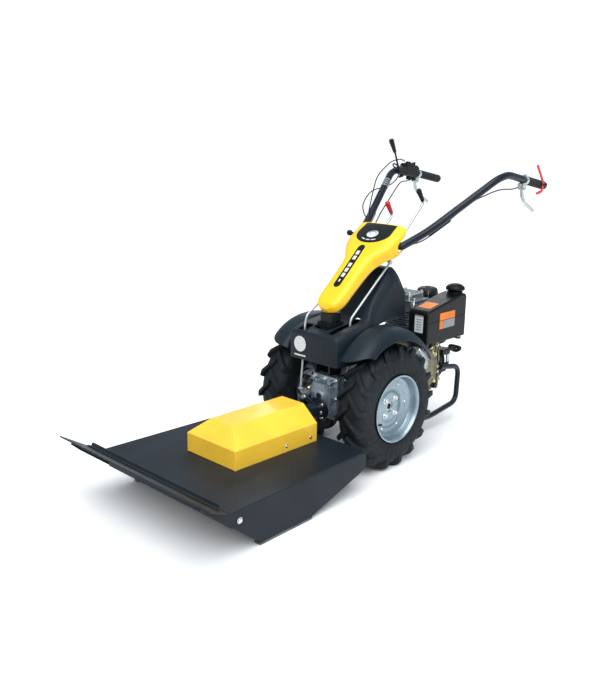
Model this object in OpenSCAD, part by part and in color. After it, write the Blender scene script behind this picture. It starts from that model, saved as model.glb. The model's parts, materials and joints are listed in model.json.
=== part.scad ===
// Walk-behind tractor unit with a front brush-mower deck.
// Millimetres. +X points forwards to the deck, +Y to the machine's left, +Z up.
// The modules are written about the wheel axle (x = 0 at the axle, z = 0 on the ground), and
// placed() moves every one so that the origin is under the middle of the whole machine.

/* [Wheels] */
// Outer radius of the tyres
tyre_r = 254; // [230:1:260]
// Width of one tyre
tyre_w = 130; // [110:2:140]
// Distance from the middle of the machine to the middle of a tyre
track_half = 215; // [215:1:230]
// Outer radius of the rim flange
rim_r = 138; // [132:1:142]

/* [Deck] */
// Distance from the axle to the rear edge of the deck
deck_rear = 262; // [262:1:290]
// Distance from the axle to the fold of the front lip
deck_front = 968; // [940:1:980]
// Half width of the deck at its rear edge
deck_rear_half = 338; // [325:1:345]
// Half width of the deck at its front fold
deck_front_half = 362; // [350:1:370]
// Height of the deck's top face above the ground
deck_z = 165; // [160:1:175]
// Thickness of the deck's steel plate
plate = 5; // [4:0.5:6]
// Height of the top of the yellow gear cover
cover_z = 300; // [295:1:320]

/* [Handlebar] */
// Distance from the axle back to the end of the handle tubes
handle_reach = 1007; // [960:1:1040]
// Height of the end of the handle tubes
handle_z = 1092; // [1050:1:1120]
// Half distance between the two grips
handle_half = 290; // [270:1:310]
// Outer radius of the handle tubes
tube_r = 16; // [14:0.5:17]
// Outer radius of the grips
grip_r = 19; // [18.5:0.5:21]

/* [Rotor] */
// Radius that the tips of the swinging knives reach
blade_r = 318; // [290:1:322]

/* [Hidden] */
$fn = 48;
fit = 0.05;                     // radial running clearance of shafts
axle_z = tyre_r;                // axle height
hitch_z = 222;                  // height of the drive line to the deck
crank_z = 300;                  // height of the engine's crankshaft
rotor_x = 600;                  // distance from the axle to the rotor
lip_run = 127;                  // horizontal length of the front lip
lip_rise = 73;                  // height that the front lip gains
lip_half = 425;                 // half width of the lip's tip
lip_slope = atan(lip_rise / lip_run);
lip_gap = 0.1;                  // gap between the deck's plate and the lip
handle_pitch = 10.37;           // fall of the grips towards the rear, in degrees
grip_cap = 4;                   // thickness of the closed end of a grip
front_reach = deck_front + lip_run + plate * sin(lip_slope) + lip_gap * cos(lip_slope);
rear_reach = handle_reach + grip_cap * cos(handle_pitch) + grip_r * sin(handle_pitch);
axle_x = (rear_reach - front_reach) / 2;

// Route of one handle tube, from the cross tube of the column to its end; the left one
handle_path = [
    [-178, 102, 872], [-178, 128, 872], [-300, 165, 925],
    [-620, handle_half - 5, 1135], [-690, handle_half, 1150],
    [-handle_reach, handle_half, handle_z]];
// Route of the left tube of the rear bumper
bumper_path = [[-500, 131, 296], [-655, 128, 268], [-649, 128, 98], [-435, 128, 72],
    [-250, 112, 80], [-80, 78, 196]];
// Routes of the two shift rods
left_rod_path = [[-176, 73, 800], [68, 73, 595], [69, 73, 545], [75, 80, 450], [100, 88, 350]];
right_rod_path = [[-176, -73, 800], [165, -73, 606], [175, -73, 575], [185, -73, 430],
    [190, -80, 297]];
// Routes of the control cables: the clutch cable of the left handle, then on the right handle
// the throttle cable, the gear cable and the brake cable
cable_paths = [
    [[-801, 290, 1098], [-740, 290, 1088], [-650, 282, 1088], [-570, 262, 1068],
        [-490, 228, 1028], [-300, 158, 896], [-232, 86, 862], [-160, 80, 840]],
    [[-720, -286, 1186], [-691, -290, 1193], [-630, -288, 1186], [-578, -283, 1165],
        [-502, -270, 1123], [-450, -250, 1068], [-363, -200, 990], [-280, -140, 957],
        [-190, -78, 900]],
    [[-706, -300, 1128], [-670, -300, 1092], [-586, -288, 1068], [-505, -275, 1064],
        [-433, -260, 1049], [-354, -230, 1005], [-323, -195, 967], [-280, -130, 935],
        [-185, -70, 896]],
    [[-801, -290, 1098], [-732, -278, 1091], [-651, -255, 1086], [-504, -200, 1023],
        [-388, -150, 979], [-289, -105, 935], [-200, -62, 908]]];

// ---- helpers ------------------------------------------------------------------------------

module placed() translate([axle_x, 0, 0]) children();
module along_x(x, y, z) translate([x, y, z]) rotate([0, 90, 0]) children();
module along_y(x, y, z) translate([x, y, z]) rotate([-90, 0, 0]) children();
module box(low, high) translate(low) cube(high - low);
module left_right() { children(); mirror([0, 1, 0]) children(); }
// Turns an outline drawn in X and Z, and makes it a plate from y to y + width
module side_plate(y, width) translate([0, y + width, 0]) rotate([90, 0, 0])
    linear_extrude(width) children();

// A rectangle with round corners
module soft_rect(low, high, r) {
    translate(low + [r, 0]) square(high - low - [2 * r, 0]);
    translate(low + [0, r]) square(high - low - [0, 2 * r]);
    for (x = [low[0] + r, high[0] - r], y = [low[1] + r, high[1] - r]) translate([x, y]) circle(r);
}

function unit(v) = v / norm(v);
function tangent(p, i) = unit(p[min(i + 1, len(p) - 1)] - p[max(i - 1, 0)]);
function carry(n, t) = unit(n - (n * t) * t);
function normals(p, i, n) =
    let (m = carry(n, tangent(p, i)))
    i == len(p) - 1 ? [m] : concat([m], normals(p, i + 1, m));
function corner(a, b, c, reach, steps) =
    let (l = min(reach, 0.45 * norm(b - a), 0.45 * norm(c - b)),
        p = b + unit(a - b) * l, q = b + unit(c - b) * l)
    [for (i = [0:steps]) let (t = i / steps) (1 - t) * (1 - t) * p + 2 * t * (1 - t) * b + t * t * q];
// A path whose corners are rounded off over the given reach
function soft_path(p, reach, steps) = concat([p[0]],
    [for (i = [1:len(p) - 2]) each corner(p[i - 1], p[i], p[i + 1], reach, steps)],
    [p[len(p) - 1]]);
// The same path, drawn out at both ends
function longer(p, extra) = [for (i = [0:len(p) - 1])
    i == 0 ? p[0] - extra * tangent(p, 0) : i == len(p) - 1 ? p[i] + extra * tangent(p, i) : p[i]];

function middle(ring) = [for (i = [0:len(ring) - 1]) 1 / len(ring)] * ring;
// A closed skin over rings of points, all with the same count
module loft(rings) {
    count = len(rings[0]);
    last = len(rings) - 1;
    total = count * (last + 1);
    polyhedron(
        points = concat([for (ring = rings) each ring], [middle(rings[0]), middle(rings[last])]),
        faces = concat(
            [for (j = [0:count - 1]) [total, j, (j + 1) % count]],
            [for (i = [0:last - 1], j = [0:count - 1]) let (k = (j + 1) % count)
                each [[i * count + j, (i + 1) * count + k, i * count + k],
                    [i * count + j, (i + 1) * count + j, (i + 1) * count + k]]],
            [for (j = [0:count - 1]) [total + 1, last * count + (j + 1) % count, last * count + j]]));
}

// A round bar of radius r along a path
module swept(path, r, sides) {
    start = abs(tangent(path, 0)[2]) > 0.9 ? [1, 0, 0] : [0, 0, 1];
    n = normals(path, 0, start);
    loft([for (i = [0:len(path) - 1]) [for (j = [0:sides - 1])
        let (t = tangent(path, i), a = 360 * j / sides)
        path[i] + r * (cos(a) * n[i] + sin(a) * cross(t, n[i]))]]);
}

module hollow_swept(path, r, wall, sides) difference() {
    swept(path, r, sides);
    swept(longer(path, 1), r - wall, sides);
}

// ---- tractor unit -------------------------------------------------------------------------

module gearbox_housing() color([0.62, 0.64, 0.66]) difference() {
    union() {
        side_plate(-64, 128) soft_rect([-110, 175], [120, 361], 12);
        left_right() along_y(0, 64, axle_z) cylinder(h = 84, r = 36);
        left_right() along_y(0, 64, axle_z) cylinder(h = 10, r = 58);
        along_x(120, -4, 276) linear_extrude(38) soft_rect([-54, -44], [54, 44], 10);
        along_x(120, 0, hitch_z) cylinder(h = 40, r = 46);
    }
    box([-98, -52, 187], [108, 52, 362]);
    along_y(0, -150, axle_z) cylinder(h = 300, r = 17.5 + fit);
    along_x(100, 0, hitch_z) cylinder(h = 70, r = 14 + fit);
    along_x(128, 0, hitch_z) cylinder(h = 40, r = 30 + fit);
    along_x(136, -2, 277) cylinder(h = 30, r = 11);
}

module clutch_housing() color([0.55, 0.57, 0.58]) difference() {
    union() {
        along_x(-290, 0, crank_z - 12) cylinder(h = 180, r = 92);
        along_x(-290, 0, crank_z - 12) cylinder(h = 12, r = 104);
    }
    along_x(-291, 0, crank_z - 12) cylinder(h = 175, r = 82);
}

module column_mount() color([0.1, 0.1, 0.11]) difference() {
    union() {
        box([-110, -64, 361], [120, 64, 369]);
        left_right() side_plate(33, 8) soft_rect([78, 368], [148, 500], 8);
        left_right() box([84, 40, 494], [116, 135, 500]);
    }
    along_y(112, -60, 470) cylinder(h = 120, r = 10 + fit);
}

module pivot_pin() color([0.75, 0.75, 0.76]) {
    along_y(112, -46, 470) cylinder(h = 92, r = 10);
    along_y(112, 41.2, 470) cylinder(h = 8, r = 17, $fn = 6);
    along_y(112, -49.2, 470) cylinder(h = 8, r = 17, $fn = 6);
}

// One cross-section of the hood: half widths and heights of its lower edge, shoulder and top
function hood_ring(x, low, shoulder, top) = [
    [x, -low[0], low[1]], [x, -shoulder[0], shoulder[1]], [x, -top[0], top[1]],
    [x, top[0], top[1]], [x, shoulder[0], shoulder[1]], [x, low[0], low[1]]];
hood_stations = [
    [209, [124, 431], [127, 530], [116, 546]], [150, [139, 431], [139, 545], [126, 562]],
    [40, [139, 431], [139, 560], [126, 577]], [-15, [130, 500], [124, 590], [104, 620]],
    [-60, [117, 560], [108, 626], [84, 660]], [-120, [106, 566], [99, 680], [70, 712]],
    [-180, [101, 568], [92, 722], [58, 772]], [-216, [98, 570], [90, 718], [58, 776]],
    [-262, [96, 571], [88, 674], [72, 700]], [-280, [92, 572], [84, 658], [68, 676]]];

module hood() color([0.12, 0.13, 0.15]) difference() {
    skin = 4;
    loft([for (s = hood_stations) hood_ring(s[0], s[1], s[2], s[3])]);
    loft([for (s = hood_stations) hood_ring(
        s[0] == 209 ? 209 - skin : s[0] == -280 ? -280 + skin : s[0],
        s[1] - [skin, 8], s[2] - [skin, 1], s[3] - [skin - 1, skin])]);
    box([64, -42, 520], [160, 42, 640]);
    box([8, 54, 520], [156, 92, 640]);
    box([140, -92, 520], [200, -54, 640]);
}

// A sheet-metal fender round the axle; drawn on the right side
module fender() round_axle() rotate([0, 0, 42]) rotate_extrude(angle = 103)
    polygon([[306, 139.3], [310, 139.3], [320, 150], [323, 168], [321, 205], [313, 235],
        [298, 255], [277, 266], [274, 262], [295, 252], [309, 233.5], [317, 204], [319, 168],
        [316.5, 152]]);
module right_fender() color([0.12, 0.13, 0.15]) fender();
module left_fender() color([0.12, 0.13, 0.15]) mirror([0, 1, 0]) fender();

module crankcase() color([0.45, 0.46, 0.4]) difference() {
    union() {
        along_x(-515, 0, crank_z) rotate([0, 0, 90]) linear_extrude(225)
            soft_rect([-118, -110], [118, 130], 24);
        left_right() box([-490, 70, 182], [-320, 100, 200]);
        along_y(-400, 117, 300) cylinder(h = 12, r = 72);
    }
    along_x(-501, 0, crank_z) rotate([0, 0, 90]) linear_extrude(197)
        soft_rect([-104, -96], [104, 116], 16);
    along_x(-520, 0, crank_z) cylinder(h = 240, r = 15 + fit);
    translate([-420, -10, 370]) cylinder(h = 80, r = 43);
}

module cylinder_barrel() color([0.6, 0.62, 0.63]) difference() {
    translate([-420, -10, 430]) {
        cylinder(h = 130, r = 56);
        for (i = [0:7]) translate([0, 0, 8 + 16 * i]) cylinder(h = 5, r = 82);
    }
    translate([-420, -10, 420]) cylinder(h = 150, r = 43);
}

module cylinder_head() color([0.66, 0.68, 0.7]) {
    translate([0, 0, 560]) linear_extrude(48) soft_rect([-480, -90], [-345, 76], 16);
    translate([0, 0, 608]) linear_extrude(34) soft_rect([-468, -62], [-357, 50], 20);
}

module fan_housing() color([0.15, 0.15, 0.16]) difference() {
    union() {
        along_x(-572, 0, crank_z) cylinder(h = 57, r = 112);
        along_x(-590, 0, crank_z) cylinder(h = 20, r = 66);
        along_x(-578, 116, 357) cylinder(h = 60, r = 14);
        box([-572, 80, 345], [-520, 116, 369]);
    }
    along_x(-565, 0, crank_z) cylinder(h = 60, r = 104);
    along_x(-586, 0, crank_z) cylinder(h = 30, r = 20);
    along_x(-580, 116, 357) cylinder(h = 64, r = 6.4);
}

// Side outline of the fuel tank, drawn in by the given wall
module tank_outline(wall) polygon([[-285 - wall, 450 + wall], [-285 - wall, 580 - wall],
    [-297 - wall, 592 - wall], [-525, 634 - wall], [-566, 636 - wall],
    [-577 + wall, 625 - wall], [-577 + wall, 443 + wall], [-300, 443 + wall]]);
module fuel_tank() color([0.07, 0.07, 0.08]) difference() {
    union() {
        side_plate(97, 103) tank_outline(0);
        translate([-555, 150, 630]) cylinder(h = 14, r = 23);
    }
    side_plate(100, 97) tank_outline(3);
    translate([-555, 150, 600]) cylinder(h = 60, r = 18);
}

module fuel_cap() color([0.06, 0.06, 0.07]) {
    translate([-555, 150, 626]) cylinder(h = 22, r = 17.9);
    translate([-555, 150, 645]) rotate_extrude() polygon([[0, 0], [26, 0], [40, 3], [42, 8],
        [38, 17], [27, 25], [12, 29], [0, 30]]);
}

module air_cleaner() color([0.2, 0.2, 0.21]) {
    translate([-537, 15, 560]) cylinder(h = 66, r = 46);
    translate([-537, 15, 626]) cylinder(h = 14, r1 = 46, r2 = 36);
    along_x(-500, 15, 584) cylinder(h = 20, r = 17);
}

module muffler() color([0.45, 0.43, 0.41]) difference() {
    union() {
        along_x(-520, -170, 505) cylinder(h = 190, r = 46);
        translate([-420, -170, 545]) cylinder(h = 47, r = 14);
        along_y(-420, -170, 578) cylinder(h = 80, r = 14);
        along_x(-560, -170, 505) cylinder(h = 41, r = 13);
    }
    along_x(-517, -170, 505) cylinder(h = 184, r = 43);
    along_x(-561, -170, 505) cylinder(h = 60, r = 10);
}

module rear_bumper() color([0.08, 0.08, 0.09]) left_right()
    hollow_swept(soft_path(bumper_path, 45, 5), 12, 2.5, 16);

// ---- wheels; each is drawn on the right side ------------------------------------------------

module round_axle() translate([0, 0, axle_z]) rotate([90, 0, 0]) children();

module tyre() round_axle() translate([0, 0, track_half]) rotate_extrude($fn = 96)
    polygon([[rim_r - 9.7, -55], [rim_r + 1, -62], [rim_r + 45, -tyre_w / 2],
        [tyre_r - 22, -tyre_w / 2 + 1], [tyre_r - 6, -54], [tyre_r, -34], [tyre_r, 34],
        [tyre_r - 6, 54], [tyre_r - 22, tyre_w / 2 - 1], [rim_r + 45, tyre_w / 2],
        [rim_r + 1, 62], [rim_r - 9.7, 55], [rim_r - 6, 44], [tyre_r - 30, 50],
        [tyre_r - 18, 30], [tyre_r - 18, -30], [tyre_r - 30, -50], [rim_r - 6, -44]]);

module rim() round_axle() difference() {
    translate([0, 0, track_half]) rotate_extrude($fn = 96) {
        polygon([[rim_r, -63], [rim_r - 2, -66], [rim_r - 10, -62], [rim_r - 14, -50],
            [rim_r - 16, -30], [rim_r - 34, -22], [rim_r - 34, 22], [rim_r - 16, 30],
            [rim_r - 14, 50], [rim_r - 10, 62], [rim_r - 2, 66], [rim_r, 63], [rim_r - 10, 58],
            [rim_r - 10, 50], [rim_r - 12, 28], [rim_r - 30, 19], [rim_r - 30, -19],
            [rim_r - 12, -28], [rim_r - 10, -50], [rim_r - 10, -58]]);
        polygon([[0, 18], [58, 18], [66, 14], [84, 14], [92, 19], [rim_r - 32, 19],
            [rim_r - 32, 22.5], [90, 22.5], [82, 17.5], [68, 17.5], [60, 22], [0, 22]]);
    }
    cylinder(h = 400, r = 20);
    wheel_holes(6.2);
}

module wheel_holes(r) for (a = [45:90:315]) rotate([0, 0, a]) translate([44, 0, track_half - 20])
    cylinder(h = 60, r = r, $fn = 24);

module axle() {
    round_axle() difference() {
        union() {
            translate([0, 0, 9]) cylinder(h = 216, r = 17.5);
            translate([0, 0, track_half + 4]) cylinder(h = 13.8, r = 56);
            translate([0, 0, track_half - 20]) cylinder(h = 30, r = 30);
        }
        wheel_holes(6.2);
        translate([0, 0, track_half - 6]) cylinder(h = 40, r = 12);
    }
    round_axle() translate([0, 0, 18]) linear_extrude(14) final_gear();
}

// Spur gear of the final drive, with trapezoid teeth
module final_gear() difference() {
    teeth = 30;
    polygon([for (i = [0:teeth - 1]) each [for (s = [[-0.36, 54], [-0.17, 60], [0.17, 60],
        [0.36, 54]]) let (a = 360 * (i + s[0]) / teeth) s[1] * [cos(a), sin(a)]]]);
    circle(17.45);
}

module wheel_bolts() round_axle() for (a = [45:90:315]) rotate([0, 0, a])
    translate([44, 0, track_half]) {
        cylinder(h = 24, r = 6, $fn = 24);
        translate([0, 0, 22.2]) cylinder(h = 8, r = 10, $fn = 6);
    }

module right_tyre() color([0.06, 0.06, 0.07]) tyre();
module right_rim() color([0.72, 0.74, 0.76]) rim();
module right_axle() color([0.5, 0.5, 0.52]) axle();
module right_wheel_bolts() color([0.85, 0.85, 0.86]) wheel_bolts();
module left_tyre() color([0.06, 0.06, 0.07]) mirror([0, 1, 0]) tyre();
module left_rim() color([0.72, 0.74, 0.76]) mirror([0, 1, 0]) rim();
module left_axle() color([0.5, 0.5, 0.52]) mirror([0, 1, 0]) axle();
module left_wheel_bolts() color([0.85, 0.85, 0.86]) mirror([0, 1, 0]) wheel_bolts();

// ---- turning shafts of the tractor unit -----------------------------------------------------

module crankshaft() color([0.6, 0.6, 0.62]) {
    along_x(-582, 0, crank_z) cylinder(h = 120, r = 15);
    along_x(-358, 0, crank_z) cylinder(h = 130, r = 15);
    along_x(-470, 0, crank_z) cylinder(h = 16, r = 70);
    along_x(-360, 0, crank_z) cylinder(h = 16, r = 70);
    along_x(-455, 0, crank_z + 38) cylinder(h = 96, r = 17);
    along_x(-558, 0, crank_z) cylinder(h = 34, r = 98);
    along_x(-286, 0, crank_z) cylinder(h = 50, r = 58);
}

module output_shaft() color([0.6, 0.6, 0.62]) {
    along_x(66, 0, hitch_z) cylinder(h = 62, r = 14);
    along_x(70, 0, hitch_z) cylinder(h = 16, r = 32);
    along_x(127, 0, hitch_z) cylinder(h = 24, r = 11);
}

module recoil_handle() color([0.05, 0.05, 0.06]) {
    along_x(-626, 116, 357) cylinder(h = 90, r = 6);
    along_y(-632, 88, 357) cylinder(h = 56, r = 12);
}

// ---- handlebar ------------------------------------------------------------------------------

// Places a piece on a handle: local X runs forwards along the grip from the tube's end
module on_handle(side) translate([-handle_reach, side * handle_half, handle_z])
    rotate([0, -handle_pitch, 0]) children();

module column() color([0.09, 0.09, 0.1]) {
    foot = [112, 0, 470];
    knee = [96, 0, 640];
    top = [-170, 0, 865];
    difference() {
        union() {
            along_y(112, -31, 470) cylinder(h = 62, r = 23);
            translate(foot) rotate([0, -atan((foot.x - knee.x) / (knee.z - foot.z)), 0])
                cylinder(h = norm(knee - foot), r = 20);
        }
        along_y(112, -60, 470) cylinder(h = 120, r = 10 + fit);
    }
    translate(knee) sphere(r = 21.5);
    translate(knee) rotate([0, -atan((knee.x - top.x) / (top.z - knee.z)), 0])
        cylinder(h = norm(top - knee), r = 20);
    along_y(-178, -100, 872) cylinder(h = 200, r = 17);
    left_right() side_plate(36, 6) polygon([[-170, 850], [-150, 866], [-176, 880], [-214, 846],
        [-214, 828], [-200, 826]]);
    along_y(-205, -76, 838) cylinder(h = 152, r = 8);
}

// A point on the cowl: u runs up along its neck, v across it and w out of its top
cowl_slope = 39;
function cowl_point(u, v, w) = [152 - u * cos(cowl_slope) + w * sin(cowl_slope), v,
    654 + u * sin(cowl_slope) + w * cos(cowl_slope)];
// Cross-section at u: a flattened ring, widest at the height mid
function cowl_ring(u, half, mid, low, high) = [for (a = [345:-15:0])
    let (s = sin(a), c = cos(a), w = s > 0 ? high * pow(s, 0.6) : -low * pow(-s, 0.6))
    cowl_point(u, half * sign(c) * pow(abs(c), 0.7), mid + w)];
// Along u: half width, height of the widest line, and the depth and height from there
cowl_stations = [[0, 27, -25, 18, 18], [12, 46, -25, 26, 27], [45, 60, -24, 34, 29],
    [120, 62, -22, 38, 30], [220, 64, -22, 42, 36], [262, 72, -22, 48, 39],
    [300, 96, -22, 58, 42], [345, 118, -22, 66, 41], [400, 124, -22, 80, 36],
    [440, 124, -22, 80, 31], [468, 121, -20, 78, 24]];
cowl_end = 468;

// Local X runs up the neck of the cowl and local Z points out of its top
module on_cowl() translate([152, 0, 654]) rotate([0, cowl_slope, 0]) rotate([0, 0, 180]) children();
// The cowl's outer shape, grown outwards by the given amount
module cowl_block(grow) loft([for (s = cowl_stations)
    cowl_ring(s[0], s[1] + grow, s[2], s[3] + grow, s[4] + grow)]);

// The shell is open at the back and along its bottom, where the column and the handles enter
module cowl() color([0.98, 0.83, 0.1]) difference() {
    skin = 3;
    cowl_block(0);
    loft([for (s = cowl_stations) cowl_ring(
        s[0] == 0 ? skin : s[0] == cowl_end ? cowl_end + 4 : s[0],
        s[1] - skin, s[2], s[3] - skin, s[4] - skin)]);
    on_cowl() side_plate(-180, 360) polygon([[-20, -52], [60, -55], [290, -44], [311, -46],
        [345, -62], [391, -86], [414, -95], [425, -88], [425, -72], [374, -72], [374, -16],
        [500, -16], [500, -150], [-20, -150]]);
    on_cowl() box([-20, -26, -130], [60, 26, -41]);
    on_cowl() translate([0, 0, dash_floor]) linear_extrude(60) dash_outline();
    along_y(-180, -160, 900) cylinder(h = 60, r = 5 + fit);
}

// The instrument panel's outline: a rounded front and a straight edge at the back
module dash_outline() polygon(concat(
    [for (a = [-90:10:90]) [405 - 66 * cos(a), 85 * sin(a)]], [[464, 79], [464, -79]]));
dash_floor = -6;

// The panel fills the opening in the cowl's top and stands a little proud of it
module dash_panel() color([0.05, 0.05, 0.06]) intersection() {
    cowl_block(1.5);
    on_cowl() translate([0, 0, dash_floor]) linear_extrude(60) dash_outline();
}

module handle() hollow_swept(soft_path(handle_path, 60, 6), tube_r, 2.5, 16);
module left_handle() color([0.09, 0.1, 0.13]) {
    handle();
    along_y(-965.7, handle_half + tube_r - 1.5, 1099.6) cylinder(h = 20, r = 4);
}
module right_handle() color([0.09, 0.1, 0.13]) mirror([0, 1, 0]) handle();

module grip(side) color([0.05, 0.05, 0.05]) difference() {
    on_handle(side) difference() {
        rotate([0, 90, 0]) translate([0, 0, -grip_cap]) cylinder(h = 166, r = grip_r);
        rotate([0, 90, 0]) translate([0, 0, -0.2]) cylinder(h = 170, r = tube_r + 0.2);
    }
    if (side > 0) along_y(-965.7, handle_half + 5, 1099.6) cylinder(h = 30, r = 4.4);
}
module grips() { grip(1); grip(-1); }

// Clamp and pivot of a hand lever; its pivot is at 190 along the handle and 36 below it
module bracket(side) color([0.7, 0.72, 0.73]) on_handle(side) difference() {
    union() {
        rotate([0, 90, 0]) translate([0, 0, 166]) cylinder(h = 16, r = 22);
        for (y = [-13, 8]) side_plate(y, 5) soft_rect([172, -46], [200, -10], 6);
    }
    rotate([0, 90, 0]) translate([0, 0, 160]) cylinder(h = 60, r = tube_r + 0.2);
    along_y(190, -20, -36) cylinder(h = 40, r = 4 + fit);
}
module lever_brackets() { bracket(1); bracket(-1); }

module hand_lever(side) color([0.72, 0.74, 0.75]) on_handle(side) {
    along_y(190, -13, -36) cylinder(h = 26, r = 4);
    along_y(190, -7, -36) cylinder(h = 14, r = 9);
    swept(soft_path([[190, 0, -36], [178, 0, -68], [146, 0, -96], [60, 0, -122]], 26, 4), 6.5, 10);
}
module left_hand_lever() hand_lever(1);
module right_hand_lever() hand_lever(-1);

module stop_lever() color([0.8, 0.08, 0.08]) difference() {
    side_plate(handle_half + 22, 5) {
        translate([-965.7, 1099.6]) circle(10);
        polygon([[-972, 1107], [-958, 1101], [-892, 1182], [-903, 1190]]);
        polygon([[-972, 1093], [-958, 1066], [-906, 1056], [-903, 1067], [-948, 1077],
            [-957, 1102]]);
    }
    along_y(-965.7, 300, 1099.6) cylinder(h = 40, r = 4 + fit);
}

module control_box() color([0.06, 0.06, 0.07]) {
    on_handle(-1) difference() {
        union() {
            translate([201, 0, 0]) rotate([90, 0, 90]) linear_extrude(94)
                soft_rect([-22, -24], [24, 27], 6);
            translate([262, 0, 26]) cylinder(h = 8, r = 15);
        }
        rotate([0, 90, 0]) translate([0, 0, 190]) cylinder(h = 120, r = tube_r + 0.2);
        translate([262, 0, 27]) cylinder(h = 30, r = 5 + fit);
    }
    side_plate(-269.5, 3.4) polygon([[-728, 1122], [-642, 1128], [-640, 1152], [-728, 1160]]);
    along_y(-655, -266.5, 1140) cylinder(h = 11, r = 4);
}

module throttle_lever() color([0.06, 0.06, 0.07]) on_handle(-1) {
    translate([262, 0, 28]) cylinder(h = 10, r = 5);
    translate([262, 0, 34.4]) cylinder(h = 6, r = 13);
    box([228, -5, 34.6], [262, 5, 40]);
    translate([226, 0, 34.6]) cylinder(h = 15, r = 8);
}

module gear_lever() color([0.06, 0.06, 0.07]) difference() {
    union() {
        along_y(-655, -265.6, 1140) cylinder(h = 9, r = 10);
        swept([[-653, -261, 1144], [-641, -262, 1162], [-612, -262, 1229]], 4.5, 12);
        swept([[-613, -262, 1226], [-606, -262, 1240], [-583, -262, 1279], [-578, -262, 1285]], 10, 12);
    }
    along_y(-655, -280, 1140) cylinder(h = 40, r = 4 + fit);
}

// A long lever on the cross pivot, with a cranked grip at its end and a short lower arm
module cross_lever(side, reach) difference() {
    union() {
        along_y(-205, side * 58 - 8, 838) cylinder(h = 16, r = 14);
        swept(soft_path([[-205, side * 58, 838], [-205 - 0.73 * reach, side * 58, 838 + 0.68 * reach],
            [-165 - 0.73 * reach, side * 58, 896 + 0.68 * reach]], 14, 3), 5.5, 12);
        translate([-165 - 0.73 * reach, side * 58, 896 + 0.68 * reach]) rotate([0, 215, 0])
            translate([0, 0, -2]) cylinder(h = 62, r1 = 11, r2 = 8);
        side_plate(side * 58 - 5, 10) polygon([[-213, 830], [-197, 846], [-172, 812], [-178, 798],
            [-186, 800]]);
    }
    along_y(-205, -80, 838) cylinder(h = 160, r = 8 + fit);
}
module red_lever() color([0.8, 0.1, 0.1]) cross_lever(-1, 195);
module black_lever() color([0.06, 0.06, 0.07]) cross_lever(1, 280);

module left_shift_rod() color([0.8, 0.81, 0.82]) swept(soft_path(left_rod_path, 20, 3), 4.5, 12);
module right_shift_rod() color([0.8, 0.81, 0.82]) swept(soft_path(right_rod_path, 20, 3), 4.5, 12);

module lock_knob() color([0.05, 0.05, 0.06]) {
    along_y(-180, -150, 900) cylinder(h = 44, r = 5);
    along_y(-180, -166, 900) cylinder(h = 20, r = 12);
}

module control_cables() color([0.1, 0.1, 0.1])
    for (path = cable_paths) swept(soft_path(path, 60, 4), 3, 8);

// ---- mower deck -----------------------------------------------------------------------------

module deck_plate() color([0.11, 0.12, 0.14]) difference() {
    translate([0, 0, deck_z - plate]) linear_extrude(plate) difference() {
        polygon([[deck_rear, -deck_rear_half + 30], [deck_rear + 30, -deck_rear_half],
            [deck_front, -deck_front_half], [deck_front, deck_front_half],
            [deck_rear + 30, deck_rear_half], [deck_rear, deck_rear_half - 30]]);
    }
    translate([rotor_x, 0, 100]) cylinder(h = 100, r = 32);
}

edge_turn = atan((deck_front_half - deck_rear_half) / (deck_front - deck_rear - 30));
// Places a piece along the left edge of the deck, local X along the edge from the rear
module at_edge() translate([deck_rear + 30, deck_rear_half, 0]) rotate([0, 0, edge_turn]) children();

module skirt() at_edge() side_plate(-plate, plate) polygon([[-28, 98], [284, 8], [530, 8],
    [760, 186.5], [800, 222.5], [790, 222.5], [deck_front - deck_rear - 28, 158.9],
    [deck_front - deck_rear - 36, 159.8], [-28, 159.8]]);
module left_skirt() color([0.11, 0.12, 0.14]) skirt();
module right_skirt() color([0.11, 0.12, 0.14]) mirror([0, 1, 0]) skirt();

module front_lip() color([0.11, 0.12, 0.14])
    translate([deck_front, 0, deck_z]) rotate([0, -lip_slope, 0]) translate([lip_gap, 0, -plate])
        linear_extrude(plate) polygon([[0, -deck_front_half], [norm([lip_run, lip_rise]), -lip_half],
            [norm([lip_run, lip_rise]), lip_half], [0, deck_front_half]]);

module deck_braces() color([0.12, 0.13, 0.15]) {
    box([938, -350, 97], [943, 350, deck_z - plate - 0.1]);
    translate([deck_front, 0, deck_z]) rotate([0, -lip_slope, 0]) {
        box([44, -360, 0.1], [49, 360, 18]);
        box([49, -360, 0.1], [66, 360, 5]);
    }
}

module skid_soles() color([0.2, 0.2, 0.21]) left_right() at_edge() box([276, -28, 0], [536, 0, 7.9]);

// The gear cover's solid, drawn in by the given wall
module cover_body(wall) intersection() {
    side_plate(-200, 400) polygon([[317 + wall, 100], [739 - wall, 100], [739 - wall, 238],
        [683 - wall * 0.6, cover_z - wall], [317 + wall, cover_z - wall]]);
    along_x(300, 0, 0) rotate([0, 0, 90]) linear_extrude(500) polygon([[-133 + wall, 100],
        [133 - wall, 100], [133 - wall, 238], [59 - wall * 0.4, cover_z - wall],
        [-59 + wall * 0.4, cover_z - wall], [-133 + wall, 238]]);
}
module gear_cover() color([0.98, 0.8, 0.1]) difference() {
    cover_body(0);
    cover_body(3);
    box([300, -150, 90], [760, 150, deck_z + 0.1]);
    box([310, -40, 150], [325, 40, hitch_z]);
    along_x(310, 0, hitch_z) cylinder(h = 15, r = 40);
}

module deck_bolts() color([0.8, 0.8, 0.8]) {
    left_right() for (x = [350, 480, 660]) along_y(x, 133.1, 186) cylinder(h = 5, r = 6);
    left_right() at_edge() along_y(630, 0.1, 125) cylinder(h = 6, r = 9, $fn = 24);
    for (a = [45:90:315]) along_x(176.1, 0, hitch_z) rotate([0, 0, a]) translate([40, 0, 0])
        cylinder(h = 7, r = 5.5, $fn = 6);
}

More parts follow.
